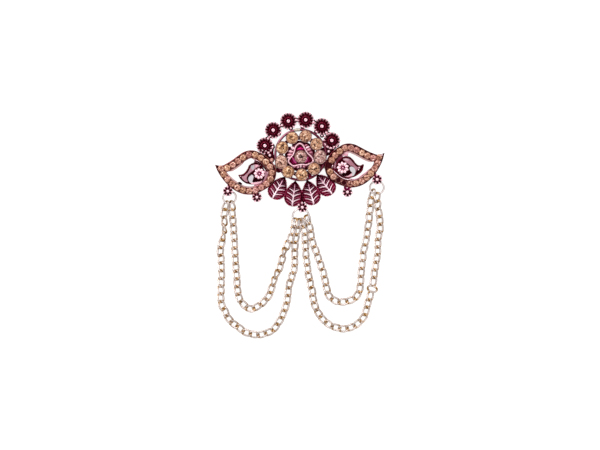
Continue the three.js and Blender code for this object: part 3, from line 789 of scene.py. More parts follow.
def makeLeaf(name, number, side):
    tip = np.array([leaf['tipX'][number], leaf['tipY'][number]])
    end = np.array([leaf['endX'][number], leaf['endY'][number]])
    along = end - tip
    across = np.array([-along[1], along[0]]) / np.linalg.norm(along) * leaf['halfWidth']
    t = np.concatenate((np.linspace(0.01, 0.5, 30), np.linspace(0.52, 0.985, 26)))
    share, width = leafWidth(t)
    spread = np.linspace(-1, 1, 29)
    s, v = np.meshgrid(share, spread, indexing='ij')
    w = np.repeat(width[:, None], len(spread), 1)
    flat = tip + s[..., None] * along + (v * w)[..., None] * across

    def surface(v, w):
        return leaf['edge'] + (leaf['crown'] - leaf['edge']) * (1 - np.abs(v) ** 2.2) * np.clip(w * 2, 0.2, 1)
    veins = np.zeros_like(s)
    for start, back in zip(leaf['veinFrom'][:3], leaf['veinBack']):
        line = start - back * np.abs(v * w) ** 0.6 / 0.8
        veins = np.maximum(veins, np.exp(-((s - line) / 0.03) ** 2))
    wave = np.cos((s + 0.17 * np.abs(v * w) ** 0.6) * circle * leaf['ripples'])
    z = surface(v, w) + 0.05 * wave * np.clip(1 - np.abs(v), 0, 1) - 0.06 * (1 - veins)
    # painted light: the tone paints the ripple crests pink as highlights and their troughs dark as shade, and
    # paints shade beside the midrib; it is also darker towards the point and along the milled edge
    flesh = np.clip(s * 2.2 - 0.5, 0, 1) * np.clip(np.abs(v * w) * 2.2 - 0.2, 0, 1)
    tone = 0.03 + 0.2 * np.clip(s * 2 - 0.3, 0, 1) + 0.36 * flesh * (0.5 + 0.5 * wave)
    tone = tone * (1 - 0.75 * np.clip((np.abs(v) - 0.8) * 9, 0, 1)) * (1 - 0.6 * np.exp(-(v * w / 0.07) ** 2))
    grid = np.concatenate((flat, z[..., None]), axis=-1)
    piece = Piece(name, side=side)
    piece.add(slab(grid, 0.0), 'leaf', tone=np.concatenate((tone.ravel(), np.full(tone.size, 0.1))))

    def lift(sv, extra):
        sv = np.asarray(sv, float)
        flatPoints = tip + sv[:, :1] * along + sv[:, 1:] * across
        wide = np.interp(sv[:, 0], share, width)
        height = surface(np.clip(sv[:, 1] / np.maximum(wide, 0.05), -1, 1), wide)
        return np.column_stack((flatPoints, height + extra))
    rib = lift([(k, 0.0) for k in np.linspace(0.16, 0.97, 18)], 0.02)
    shell = tube(rib, np.linspace(0.12, leaf['midrib'], len(rib)), 8)
    tone = np.interp(np.arange(len(shell[0])), [0, 60, 120, 178], [0.25, 0.65, 0.85, 0.8])
    piece.add(shell, 'vein', tone=tone)
    lines = (leaf[f'vein{word}'] for word in ('From', 'Out', 'Back', 'Wire', 'Tone'))
    for start, out, back, wire, tone in zip(*lines):
        for flank in (1, -1):
            wide = float(np.interp(start - back, share, width)) * out
            k = np.linspace(0, 1, 9)
            path = lift(np.column_stack((start - back * k ** 0.6, flank * wide * k)), 0.01)
            shell = tube(path, wire * (1 - 0.6 * k ** 1.5), 7)
            run = np.arange(len(shell[0])) / (len(shell[0]) - 2)
            piece.add(shell, 'vein', tone=np.interp(run, [0, 0.6, 1], [tone, tone, tone * 0.6]))
    outline = np.vstack((grid[8:, -1, :2], grid[:7:-1, 0, :2]))
    for k, (x, y) in enumerate(evenly(outline, leaf['grains'])[0]):
        grain = ball((x, y, leaf['edge'] - 0.05), leaf['grain'], 4, 8)
        piece.add(grain, 'leaf', tone=0.45 + 0.15 * math.sin(k * 2.4))
    piece.make('plated_casting', 'brooch_body')


for number, sideName in enumerate(('inner', 'outer')):
    for side, word in ((1, 'right'), (-1, 'left')):
        makeLeaf(f'{word}_{sideName}_leaf', number, side)
print('leaves made')


# Eye-shaped frames: a channel between two rims, a sloping inner wall and a paisley inside.
# wall is (height, share of its width, tone in painted shade, tone painted lit), solder is (x, y, height,
# radius, tone).
eyeFrame = {
    'outerX': [34.0, 31.4, 28.8, 26.6, 24.4, 22.5, 20.4, 18.2, 16.0, 13.1, 11.0, 9.7, 10.4, 12.9, 15.8,
               19.0, 22.3, 25.0, 27.6, 29.9, 31.8, 33.1, 34.0],
    'outerY': [-1.5, -2.1, -1.1, 0.1, 1.5, 2.6, 3.2, 3.1, 2.2, 0.4, -2.1, -5.3, -9.0, -11.7, -13.3, -14.4,
               -14.3, -13.4, -11.7, -9.4, -6.7, -4.2, -1.5],
    'innerX': [29.6, 28.6, 27.0, 24.9, 22.9, 21.3, 19.9, 18.5, 17.2, 15.3, 13.9, 13.0, 13.7, 15.2, 17.2,
               19.4, 21.6, 23.7, 25.7, 27.5, 28.8, 29.4, 29.6],
    'innerY': [-4.7, -4.5, -3.9, -2.7, -1.4, -0.5, 0.1, 0.0, -0.8, -2.3, -4.2, -6.4, -8.2, -9.8, -11.0,
               -11.7, -11.6, -10.9, -9.6, -8.0, -6.5, -5.5, -4.7],
    'share': [0.0, 0.0, 0.03, 0.09, 0.125, 0.15, 0.87, 0.89, 0.92, 0.96, 1.0],
    'height': [0.0, 1.2, 1.5, 1.58, 1.3, 0.95, 0.95, 1.3, 1.55, 1.5, 1.3],
    # rim tones at each profile point: the left frame is painted lighter than the right, as painted light
    # falling from the left
    'rightTone': [0.06, 0.08, 0.18, 0.28, 0.14, 0.08, 0.1, 0.2, 0.42, 0.32, 0.22],
    'leftTone': [0.1, 0.22, 0.4, 0.46, 0.24, 0.08, 0.1, 0.3, 0.54, 0.48, 0.38],
    'steps': 6, 'darkWall': 0.12, 'paleWall': 0.55,
    'wall': [(1.2, 0.02, 0.3, 0.95), (0.3, 1.0, 0.2, 0.8), (0.0, 1.0, 0.1, 0.3)],
    # stretches, in stations along the frame, where the inner wall is painted lit
    'rightPale': [(0.5, 8.2), (14.5, 19.5)], 'leftPale': [(13.5, 21.8), (6.5, 10.5), (1.0, 4.4)],
    'solder': [(32.85, -2.35, 1.75, 0.3, 0.95), (32.1, -4.9, 1.5, 0.2, 0.7)],
}
frameStone = {'radius': 1.27, 'heights': (0, 0.38, 0.5, 0.92), 'base': 0.98, 'sides': 12, 'reflectionFlecks': 0.3,
              'share': 0.53, 'right': 22, 'left': 21, 'rightBare': (10,), 'rightEmpty': (13, 14),
              'joint': (-11.2, -1.3), 'jointRadius': 0.82, 'jointBase': 0.86, 'jointReflectionFlecks': 0.1,
              'grip': 0.22, 'gripOut': 0.98, 'rightSeed': 7, 'leftSeed': 8}


def eyeLine(share):
    outer, inner = (smoothLine(np.column_stack((eyeFrame[f'{rim}X'], eyeFrame[f'{rim}Y'])), eyeFrame['steps'])
                    for rim in ('outer', 'inner'))
    return (outer + (inner - outer) * share)[:-1]


def makeFrame(word, side):
    outer, inner = eyeLine(0), eyeLine(1)
    inward = unit(inner - outer)
    station = np.arange(len(outer)) / eyeFrame['steps']
    # painted light: along these stretches the inner wall is widened and painted pale as lit; elsewhere it is
    # painted dark as shade
    light = np.zeros(len(outer))
    for begin, finish in eyeFrame[f'{word}Pale']:
        light = np.maximum(light, np.clip(np.minimum(station - begin, finish - station) * 1.5, 0, 1))
    wall = eyeFrame['darkWall'] + (eyeFrame['paleWall'] - eyeFrame['darkWall']) * light
    columns, tones = [], []
    for share, z, tone in zip(eyeFrame['share'], eyeFrame['height'], eyeFrame[f'{word}Tone']):
        columns.append(np.column_stack((outer + (inner - outer) * share, np.full(len(outer), z))))
        tones.append(np.full(len(outer), tone))
    for z, reach, dark, pale in eyeFrame['wall']:
        columns.append(np.column_stack((inner + inward * (wall * reach)[:, None], np.full(len(outer), z))))
        tones.append(dark + (pale - dark) * light)
    grid = np.stack(columns, axis=1)
    piece = Piece(f'{word}_eye_frame', side=side)
    piece.add((grid.reshape(-1, 3), gridFaces(len(outer), len(columns), True, True)), 'frame',
              tone=np.stack(tones, axis=1).ravel())

    count = frameStone[word]
    places, ahead = evenly(eyeLine(frameStone['share']), count, closed=True)
    across = np.column_stack((-ahead[:, 1], ahead[:, 0]))
    rng = random.Random(frameStone[f'{word}Seed'])
    for i in range(count):            # two grips between each two stones
        middle = (places[i] + places[(i + 1) % count]) / 2
        for flank in (1, -1):
            spot = middle + across[i] * flank * (frameStone['gripOut'] + 0.08 * rng.random())
            grip = ball((*spot, 1.42), frameStone['grip'], 5, 8, 0.9)
            piece.add(grip, 'frame', tone=0.3 + 0.3 * rng.random())
    if side > 0:
        first, second = frameStone['rightEmpty']
        for i in (first, second):     # glue and dark metal left in the two empty seats
            seat = turned([(0, 0.9), (1.15, 0.9), (1.18, 1.12), (1.0, 1.2), (0.88, 0.99), (0, 0.96)], 20,
                          (*places[i], 0))
            piece.add(seat, 'frame', tone=np.append(np.repeat([0.3, 0.55, 0.7, 0.1], 20), [0, 0.05]))
        piece.add(ball((*((places[first] + places[second]) / 2), 1.2), 0.42), 'frame', tone=0.55)
        for x, y, z, radius, tone in eyeFrame['solder']:
            piece.add(ball((x, y, z), radius), 'bead', tone=tone)
    else:                             # the seat of the joint stone, given where it lies on the left
        seat = turned([(0, 0), (1.0, 0), (1.05, 0.9), (0.92, 1.0), (0.8, 0.9), (0, 0.85)], 18,
                      (*frameStone['joint'], 0))
        piece.add(mirrored(seat, side), 'frame', tone=0.3)
    piece.make('plated_casting', 'brooch_body')

    stones = Piece(f'{word}_topaz_row', sharpAngle=3, side=side)
    gone = frameStone['rightBare'] + frameStone['rightEmpty'] if side > 0 else ()
    for i in range(count):
        if i in gone:
            continue
        spin = rng.random() * 6
        shell, tints = cutStone(frameStone['radius'], frameStone['heights'], frameStone['sides'], spin, rng,
                                frameStone['reflectionFlecks'])
        shift = (rng.random() - 0.5) * 0.2
        stones.add(moved(shell, (*places[i], frameStone['base'])), 'topaz',
                   tone=min(1, max(0, rng.gauss(0.45, 0.35))), tint=np.clip(tints + shift, 0, 1))
    if side < 0:
        shell, tints = cutStone(frameStone['jointRadius'], frameStone['heights'], frameStone['sides'], 0.4,
                                rng, frameStone['jointReflectionFlecks'])
        shell = moved(shell, (*frameStone['joint'], frameStone['jointBase']))
        stones.add(mirrored(shell, side), 'topaz', tone=0.9, tint=tints)
    stones.make('topaz_stone', f'{word}_frame_stones')


# Paisleys: a floor in each frame with flat fields of enamel, lines of metal and a flower laid over it.
# field is (finish, tone, top, points), stroke is (finish, tone, radius, height, points).
paisleyFlower = {'petals': 9, 'from': 0.75, 'width': 1.15, 'top': 1.42, 'low': 1.05, 'eye': 0.3}
rightPaisley = {
    'flower': (16.9, -6.3), 'reach': 2.4, 'spin': 0.25,
    'floor': [
        (25.1, -5.7), (24.4, -6.1), (23.4, -6.1), (22.6, -5.7), (21.8, -4.8), (21.2, -3.8), (20.5, -3.0),
        (19.8, -2.4), (18.9, -2.1), (18.0, -2.1), (17.2, -2.4), (16.4, -2.9), (15.6, -3.5), (15.0, -4.2),
        (14.6, -4.9), (14.4, -6.0), (14.2, -7.0), (14.7, -8.3), (15.4, -9.3), (16.3, -9.9), (17.4, -10.3),
        (18.2, -10.5), (19.4, -10.3), (20.6, -10.1), (21.8, -9.7), (22.7, -9.2), (23.7, -8.6),
        (24.5, -7.7), (24.8, -6.8)],
    'fields': [
        ('mauve', 0.58, 0.88, [
            (17.1, -2.9), (18.0, -2.5), (19.0, -2.6), (19.9, -3.0), (20.5, -3.7), (21.2, -4.6),
            (22.0, -5.7), (22.6, -6.3), (23.3, -6.6), (22.6, -7.3), (22.1, -8.2), (21.9, -8.7),
            (21.8, -7.4), (21.4, -6.6), (20.8, -5.9), (20.0, -5.7), (19.4, -5.1), (18.5, -4.3),
            (17.8, -3.7)]),
        ('mauve', 0.85, 0.96, [
            (17.2, -3.0), (18.0, -2.6), (19.0, -2.8), (19.7, -3.3), (19.1, -3.8), (18.3, -3.5)]),
        ('maroon', 0.02, 0.98, [
            (15.7, -8.5), (16.7, -9.2), (17.6, -9.4), (18.6, -9.4), (19.5, -9.0), (20.1, -8.5),
            (19.6, -8.1), (19.0, -8.1), (18.0, -8.6), (16.7, -8.6)]),
        ('maroon', 0.08, 1.0, [
            (24.8, -6.4), (24.5, -7.6), (23.8, -8.6), (22.0, -9.7), (20.6, -10.2), (21.9, -9.1),
            (23.0, -8.3)]),
        ('swirlSilver', 0.85, 1.2, [
            (19.6, -6.5), (20.0, -6.1), (20.7, -6.1), (21.4, -6.6), (21.8, -7.4), (21.9, -8.3),
            (21.5, -9.2), (21.0, -9.9), (20.3, -10.2), (20.2, -9.5), (20.5, -8.7), (20.1, -8.1),
            (19.7, -7.4)]),
        ('bead', 0.72, 1.12, [
            (20.2, -10.2), (19.2, -10.2), (18.3, -10.1), (17.4, -9.8), (16.5, -9.3), (15.6, -8.6),
            (15.2, -8.1), (15.5, -8.1), (16.2, -8.9), (17.0, -9.5), (17.9, -9.7), (18.9, -9.6),
            (19.8, -9.1), (20.3, -8.7), (20.5, -9.4)]),
        ('mauve', 0.62, 0.9, [
            (14.1, -4.1), (14.6, -4.9), (14.1, -5.7), (14.0, -6.7), (13.4, -6.1), (12.9, -5.6)]),
        ('maroon', 0.5, 0.78, [
            (13.3, -5.0), (12.8, -6.4), (13.5, -8.3), (15.0, -9.9), (17.1, -11.1), (19.4, -11.8),
            (19.2, -10.3), (17.4, -10.1), (16.3, -9.7), (15.4, -9.1), (14.7, -8.2), (14.4, -7.0),
            (14.5, -6.0)]),
        ('bead', 0.62, 0.9, [
            (16.9, -1.0), (18.0, -0.9), (19.3, -1.1), (19.2, -1.7), (18.1, -1.6), (17.2, -1.5)]),
        ('bead', 0.85, 0.8, [
            (17.7, -0.2), (19.5, -0.2), (19.4, -1.0), (17.8, -0.8)]),
        ('mauve', 0.2, 0.85, [
            (12.9, -4.9), (14.0, -3.2), (15.6, -1.9), (17.1, -1.2), (17.1, -2.3), (15.6, -3.3),
            (14.4, -4.7), (13.6, -5.6)])],
    'strokes': [
        ('maroon', 0.26, 0.32, 1.0, 'floor'),
        ('mauve', 0.95, 0.16, 1.15, [
            (14.2, -3.8), (13.3, -4.8), (12.7, -5.6), (12.9, -6.8), (13.5, -7.8), (14.6, -8.8),
            (15.9, -10.0), (17.6, -10.9), (19.3, -11.2)]),
        ('mauve', 0.6, 0.17, 1.0, [
            (19.1, -10.7), (20.6, -11.2), (22.4, -11.1), (24.5, -9.7), (26.8, -8.5)])],
    'beads': [(23.5, -6.7, 0.37), (23.1, -7.5, 0.32)],
}
leftPaisley = {
    'flower': (16.5, -6.35), 'reach': 2.2, 'spin': 0.1,
    'floor': [
        (24.7, -6.5), (23.8, -6.2), (22.9, -5.9), (22.0, -5.2), (21.2, -4.2), (20.6, -3.3), (20.3, -2.7),
        (19.4, -2.1), (18.4, -1.9), (17.4, -2.1), (16.4, -2.6), (15.4, -3.3), (14.7, -4.3), (14.3, -5.4),
        (14.2, -6.6), (14.4, -7.8), (14.9, -8.9), (15.6, -9.7), (16.6, -10.2), (18.0, -10.5),
        (19.6, -10.5), (21.0, -10.2), (22.0, -9.8), (23.0, -9.2), (23.9, -8.4), (24.5, -7.5)],
    'fields': [
        ('mauve', 0.68, 0.88, [
            (23.7, -7.0), (22.8, -6.8), (21.9, -6.1), (21.0, -5.3), (20.3, -4.2), (19.7, -3.2),
            (18.8, -2.6), (17.7, -2.5), (16.8, -2.8), (16.1, -3.3), (17.5, -4.0), (18.8, -4.9),
            (20.2, -5.8), (21.1, -6.7), (21.5, -7.7), (21.4, -9.3), (22.4, -9.0), (23.3, -8.1)]),
        ('swirlSilver', 0.6, 0.95, [
            (19.7, -3.0), (19.0, -2.8), (18.4, -2.8), (18.2, -3.8), (18.9, -4.7), (19.6, -4.3)]),
        ('bead', 0.7, 0.94, [
            (17.9, -2.8), (17.2, -2.7), (16.5, -2.9), (17.7, -3.8)]),
        ('bead', 0.78, 1.08, [
            (20.4, -9.8), (19.3, -9.7), (17.9, -9.6), (16.1, -9.4), (15.4, -8.7), (16.0, -9.9),
            (17.0, -10.3), (18.4, -10.5), (19.6, -10.4)]),
        ('maroon', 0.02, 0.98, [
            (19.3, -8.8), (18.9, -9.4), (17.9, -9.4), (16.9, -9.0), (15.9, -8.4), (16.3, -8.4),
            (17.2, -8.7), (18.0, -8.3), (18.5, -8.1)]),
        ('swirlSilver', 0.9, 1.2, [
            (19.7, -6.6), (19.0, -6.9), (18.9, -7.7), (19.2, -8.5), (19.5, -9.2), (19.3, -9.7),
            (20.3, -9.8), (20.9, -9.1), (21.1, -8.0), (20.6, -7.2)]),
        ('mauve', 0.6, 0.9, [
            (14.6, -5.2), (13.7, -5.3), (13.1, -5.9), (13.7, -6.8), (14.3, -6.2)]),
        ('mauve', 0.62, 0.72, [
            (14.3, -5.8), (13.2, -6.0), (13.1, -7.8), (14.4, -9.4), (16.6, -10.9), (18.8, -11.6),
            (18.6, -10.3), (16.6, -9.9), (15.6, -9.4), (14.9, -8.6), (14.5, -7.4)]),
        ('mauve', 0.5, 0.85, [
            (18.4, -1.6), (17.0, -2.0), (15.8, -2.8), (15.0, -3.8), (14.5, -3.5), (15.6, -2.3),
            (17.0, -1.4), (17.9, -1.2)]),
        ('maroon', 0.12, 1.1, [
            (25.2, -9.2), (24.35, -9.1), (23.5, -10.1), (24.3, -9.95)])],
    'strokes': [
        ('maroon', 0.28, 0.3, 1.02, [
            (20.3, -3.0), (20.6, -3.8), (21.2, -4.7), (22.0, -5.7), (22.9, -6.3), (23.8, -6.5),
            (24.7, -6.5)]),
        ('maroon', 0.22, 0.22, 1.0, [
            (24.6, -6.6), (24.2, -7.5), (23.5, -8.5), (22.7, -9.2), (21.7, -9.8), (20.4, -10.1)]),
        ('maroon', 0.12, 0.17, 1.05, [
            (19.0, -6.1), (19.7, -5.9), (20.4, -6.1), (21.0, -6.7), (21.5, -7.7), (21.4, -8.5)]),
        ('maroon', 0.12, 0.26, 1.05, [
            (17.9, -1.0), (17.0, -1.5), (15.9, -2.2), (15.0, -3.3), (14.1, -4.5), (13.5, -5.5)]),
        ('bead', 0.9, 0.15, 1.2, [
            (17.6, -0.8), (16.3, -1.4), (15.1, -2.3), (14.0, -3.6), (13.1, -5.1), (13.1, -6.5)]),
        ('maroon', 0.12, 0.2, 1.0, [
            (18.7, -2.2), (17.9, -1.8), (16.9, -2.2), (15.9, -3.0), (15.4, -3.8)])],
    'beads': [(24.1, -6.9, 0.28)],
}


def makePaisley(word, side, parts):
    piece = Piece(f'{word}_paisley', side=side)
    piece.add(drop(parts['floor'], [(0, 0), (0, 0.7), (0.15, 0.76)]), 'maroon', tone=0.2)
    for finish, tone, top, points in parts['fields']:
        piece.add(drop(points, [(0, 0.3), (0, top - 0.08), (0.07, top)]), finish, tone=tone)
    for finish, tone, radius, height, points in parts['strokes']:
        closed = points == 'floor'
        line = smoothLine(parts['floor'] if closed else points, 4, closed=closed)
        run = np.column_stack((line, np.full(len(line), height)))
        piece.add(tube(run, radius, 8, closed=closed), finish, tone=tone)
    for x, y, radius in parts['beads']:
        piece.add(ball((x, y, 1.0), radius), 'bead', tone=0.85)

    centre, reach, petals = parts['flower'], parts['reach'], paisleyFlower['petals']
    disc = relief(centre, lambda a: reach - 0.25 + 0.1 * np.cos(petals * a), lambda s, a: 1.0 - 0.1 * s ** 4,
                  4, 64)
    piece.add(disc, 'maroon', tone=0.3)
    for i in range(petals):
        angle = circle * i / petals + parts['spin']
        base, tip = onCircle(paisleyFlower['from'], angle, centre), onCircle(reach + 0.05, angle, centre)
        shell = petal(base, tip, paisleyFlower['width'], paisleyFlower['top'], paisleyFlower['low'])
        piece.add(shell, 'bead', tone=0.88)
    piece.add(turned([(0, 0.9), (0.95, 0.9), (0.8, 1.2), (0, 1.26)], 20, (*centre, 0)), 'magenta', tone=0.4)
    piece.add(ball((*centre, 1.25), paisleyFlower['eye'], 6, 12), 'bead', tone=0.9)
    piece.make('plated_casting', 'brooch_body')


makeFrame('right', 1)
makeFrame('left', -1)
makePaisley('right', 1, rightPaisley)
makePaisley('left', -1, leftPaisley)
print('frames and paisleys made')


# Studs: seven beads round an eye, on a neck; three of them carry an eyelet behind.
stud = {
    'x': [-29.56, -18.15, -0.32, 18.08, 30.29], 'y': [-12.44, -15.64, -20.96, -16.1, -11.93],
    'neckX': [-28.6, -18.4, 0.0, 18.3, 29.0], 'neckY': [-9.8, -13.2, -14.6, -13.2, -9.6],
    'neckWidth': [1.5, 1.9, 1.5, 2.9, 1.9], 'neckTone': [0.25, 0.25, 0.05, 0.25, 0.25],
    'neckFinish': ['magenta', 'magenta', 'maroon', 'magenta', 'magenta'],
    'petals': 7, 'radius': 1.98, 'scallop': 0.16, 'orbit': 1.78, 'bead': 0.44, 'eye': 0.62,
}
ringWire = {'name': ['left', 'centre', 'right'], 'x': [-29.1, -1.2, 30.0], 'y': [-15.0, -24.5, -15.2],
            'diameter': [6.0, 7.3, 6.3], 'wire': 0.38, 'topDrop': 0.75, 'foot': 0.95,
            'eyelet': 0.85, 'eyeletWire': 0.3, 'steps': 64, 'sides': 12, 'cutAt': 0.9, 'cut': 0.35}


def ringSlope(i):
    # radius, tilt and top of a ring that hangs from its eyelet down to the chain on the table
    radius, top = ringWire['diameter'][i] / 2 - ringWire['wire'], -ringWire['topDrop']
    return radius, math.asin((backHeight + top - ringWire['foot']) / (2 * radius)), top


def makeStuds():
    petals = stud['petals']
    spin = -math.pi / 2 + math.pi / petals
    for i, centre in enumerate(np.column_stack((stud['x'], stud['y']))):
        piece = Piece(f'stud_{i + 1}')
        piece.add(relief(centre, lambda a: stud['radius'] + stud['scallop'] * np.cos(petals * (a - spin)),
                         lambda s, a: 0.9 - 0.2 * s ** 3 - 0.1 * np.cos(petals * (a - spin)) * s * (1 - s), 6,
                         petals * 8), 'maroon', tone=0.14)
        for k in range(petals):
            angle = spin + circle * k / petals
            inside, out = onCircle(0.9, angle, centre), onCircle(stud['orbit'], angle, centre)
            piece.add(tube([(*inside, 0.95), (*out, 0.8)], [0.12, 0.17], 6), 'bead', tone=0.4)
            piece.add(ball((*out, 0.85), stud['bead'], 7, 12, 0.9), 'bead', tone=0.85)
        seat = turned([(0, 0.5), (0.98, 0.5), (0.93, 1.05), (0.75, 1.12), (0, 1.1)], 20, (*centre, 0))
        piece.add(seat, 'maroon', tone=0.08)
        piece.add(ball((*centre, 1.18), stud['eye'], 8, 14, 0.7), 'bead', tone=0.9)
        neck = np.array([stud['neckX'][i], stud['neckY'][i]])
        path = [(*centre, 0.45), (*((centre + neck) / 2), 0.5), (*neck, 0.45)]
        piece.add(tube(smoothLine(path, 4), stud['neckWidth'][i] / 2, 12, flat=0.4), stud['neckFinish'][i],
                  tone=stud['neckTone'][i])
        piece.make('plated_casting', 'brooch_body')
    piece = Piece('eyelets')
    eyelet = reordered(torus((0, 0, 0), ringWire['eyelet'], ringWire['eyeletWire'], 28, 10), [2, 0, 1])
    for i, (x, y) in enumerate(zip(ringWire['x'], ringWire['y'])):
        radius, tilt, top = ringSlope(i)
        piece.add(moved(eyelet, (x, y + radius * math.cos(tilt), top)), 'frame', tone=0.55)
    piece.make('plated_casting', 'brooch_body')


def acrossWire(count, sides, edge, top):
    # tone round a wire: a painted highlight along its top, painted shade down its sides
    section = circle * np.arange(sides) / sides
    tone = edge + (top - edge) * np.clip(np.sin(section), 0, 1) ** 1.5
    return np.resize(tone, count)


def makeJumpRings():
    steps, sides = ringWire['steps'], ringWire['sides']
    for i, word in enumerate(ringWire['name']):
        radius, tilt, top = ringSlope(i)
        angle = circle * (np.arange(steps) + 0.5) / steps + ringWire['cutAt']
        reach = radius + 0.03 * np.sin(2 * angle + i)
        path = np.column_stack((reach * np.cos(angle), reach * np.sin(angle) * math.cos(tilt),
                                reach * np.sin(angle) * math.sin(tilt)))
        path += (ringWire['x'][i], ringWire['y'][i], top - radius * math.sin(tilt))
        path[0] -= (path[0] - path[1]) * ringWire['cut']       # a hair's breadth open where the wire was cut
        path[-1] -= (path[-1] - path[-2]) * ringWire['cut']
        shell = tube(path, ringWire['wire'], sides)
        piece = Piece(f'{word}_ring_wire')
        # the tone paints a highlight along the wire's top and shade down its sides
        piece.add(shell, 'ringSilver', tone=acrossWire(len(shell[0]), sides, 0.35, 0.95))
        piece.make('silver_wire', f'{word}_jump_ring')


makeStuds()
makeJumpRings()
print('studs and jump rings made')


# Curb chain: separate links laid along each route, points on the table in mm.
link = {'length': 3.8, 'width': 2.27, 'wire': 0.41, 'wave': 0.4, 'height': 0.78, 'steps': 30, 'sides': 9,
        'bluntness': 0.85, 'yaw': 4.0, 'roll': 7.0, 'endRoll': 30, 'endLift': 0.25}
chains = {
    'left_outer': {
        'x': [-29.4, -30.3, -30.5, -30.5, -31.8, -31.8, -31.5, -31.7, -31.0, -28.6, -25.0, -20.4, -15.0,
              -10.4, -7.2, -5.2, -4.3, -2.3, -2.1, -1.8, -1.2, -0.5],
        'y': [7.4, 4.2, 1.0, -3.3, -10.2, -17.3, -23.1, -29.2, -33.0, -38.1, -41.3, -43.6, -43.9, -41.7,
              -36.8, -31.0, -24.5, -17.6, -12.0, -6.8, -2.9, -0.2],
        'first': 1.4, 'pitch': 3.089, 'links': 37, 'turned': {2: 25, 3: 62, 4: 50},
        'shiftAt': [0, 2, 5, 7, 10, 19, 22, 27, 30, 40, 43, 52, 56],
        'shift': [-0.3, -0.1, 0.2, 0.3, 0, 0, 0.4, 0.4, 0, 0, 0.4, 0.4, 0]},
    'left_inner': {
        'x': [-27.6, -26.9, -26.4, -26.1, -25.7, -25.2, -24.6, -23.0, -20.4, -17.8, -14.4, -11.9, -9.8,
              -7.6, -6.0, -4.7, -4.0, -3.2],
        'y': [7.3, 2.8, -3.3, -9.7, -16.0, -22.3, -28.3, -31.4, -33.5, -33.2, -30.6, -26.7, -21.3, -15.8,
              -10.0, -6.4, -3.4, 1.2],
        'first': 1.3, 'pitch': 3.092, 'links': 28, 'turned': {19: 25, 20: 60, 22: 25, 23: 60},
        'shiftAt': [0, 3, 48, 52, 56, 73, 77, 82, 88], 'shift': [0.5, 0, 0, -0.4, 0, 0, -0.8, -1.2, -1.2]},
    'right_outer': {
        'x': [1.2, 1.9, 2.2, 2.7, 3.7, 4.8, 6.2, 8.8, 12.6, 17.9, 22.6, 26.0, 27.5, 29.0, 29.9, 31.0, 31.3,
              32.2, 31.8, 31.5, 31.5],
        'y': [0.2, -3.2, -8.5, -14.9, -21.3, -27.3, -32.8, -37.4, -40.4, -41.7, -39.9, -35.7, -30.5, -25.9,
              -19.2, -12.1, -6.0, -0.8, 3.8, 7.6, 10.6],
        'first': 1.1, 'pitch': 3.07, 'links': 36, 'turned': {}, 'across': {23: 82},
        'shiftAt': [0, 23, 27, 31, 53, 57, 61, 100, 106, 110],
        'shift': [0, 0, 0.4, 0, 0, -0.4, 0, 0, 0.5, 0.6]},
    'right_inner': {
        'x': [29.6, 28.3, 27.6, 26.7, 25.5, 24.8, 24.4, 23.7, 21.6, 18.6, 15.6, 12.7, 10.7, 9.5, 8.6, 6.9,
              5.3, 4.8, 3.6],
        'y': [12.0, 7.0, 1.3, -5.0, -11.1, -16.5, -22.0, -26.9, -29.6, -30.7, -30.9, -29.5, -27.0, -21.5,
              -17.0, -12.0, -6.2, -2.3, 1.4],
        'first': 1.4, 'pitch': 3.177, 'links': 28, 'turned': {},
        'shiftAt': [0, 1.5, 4, 6, 53, 57, 62, 66, 73, 77, 82, 86],
        'shift': [-0.5, -0.8, -0.2, 0, 0, -0.5, -0.5, 0, 0, 0.5, 0.5, 0.2]},
}


def linkShell():
    angle = circle * np.arange(link['steps']) / link['steps']
    reach, half = link['length'] / 2, link['width'] / 2
    c, s = np.cos(angle), np.sin(angle)
    path = np.column_stack((reach * np.sign(c) * np.abs(c) ** link['bluntness'],
                            half * np.sign(s) * np.abs(s) ** link['bluntness'],
                            -link['wave'] * np.sin(2 * angle)))
    across = acrossWire(link['sides'], link['sides'], 0.42, 0.74)[None, :]
    # painted shade: the tone runs darker, towards gold-brown, at the link ends where links cross and on the
    # half of the wire that dips under its neighbour
    under = np.clip(np.sin(2 * angle), 0, 1) * np.abs(c)
    tone = across - (0.36 * np.abs(c) ** 4 + 0.6 * under)[:, None]
    return tube(path, link['wire'], link['sides'], closed=True), tone.ravel()


def makeChain(word, route):
    line = smoothLine(np.column_stack((route['x'], route['y'])), 8)
    at = route['first'] + route['pitch'] * (np.arange(route['links']) - 0.5)
    inside = np.clip(at, 0.01, distances(line)[-1] - 0.01)
    places, ahead, length = onLine(line, inside, 1.5)
    shift = np.interp(at, route['shiftAt'], route['shift'])[:, None]
    places = places + ahead * (at - inside)[:, None] + shift * np.column_stack((-ahead[:, 1], ahead[:, 0]))
    (points, faces), tone = linkShell()
    rng = random.Random(len(word) * 31 + len(at))
    piece = Piece(f'{word}_links', place=None)
    for i, (x0, y0) in enumerate(places):
        askew = rng.gauss(0, link['yaw']) + route.get('across', {}).get(i, 0)
        yaw = math.atan2(ahead[i][1], ahead[i][0]) + math.radians(askew)
        roll = math.radians(rng.gauss(0, link['roll']) + route['turned'].get(i, 0))
        lift = 0.0
        if i in (0, len(at) - 1):      # the end links tip up over the jump ring's wire
            roll, lift = math.radians(link['endRoll']), link['endLift']
        x, y, z = points.T
        y, z = y * math.cos(roll) - z * math.sin(roll), y * math.sin(roll) + z * math.cos(roll)
        x, y = x * math.cos(yaw) - y * math.sin(yaw), x * math.sin(yaw) + y * math.cos(yaw)
        z = z + link['height'] + lift
        z -= min(0, z.min() - 0.01)
        piece.add((np.column_stack((x + x0, y + y0, z)), faces), 'chainGold', tone=tone,
                  tint=0.5 + 0.3 * (rng.random() - 0.5))
    piece.make('gold_chain', f'{word}_chain')
    print(f'{word} chain: {len(at)} links, {length:.1f} mm')


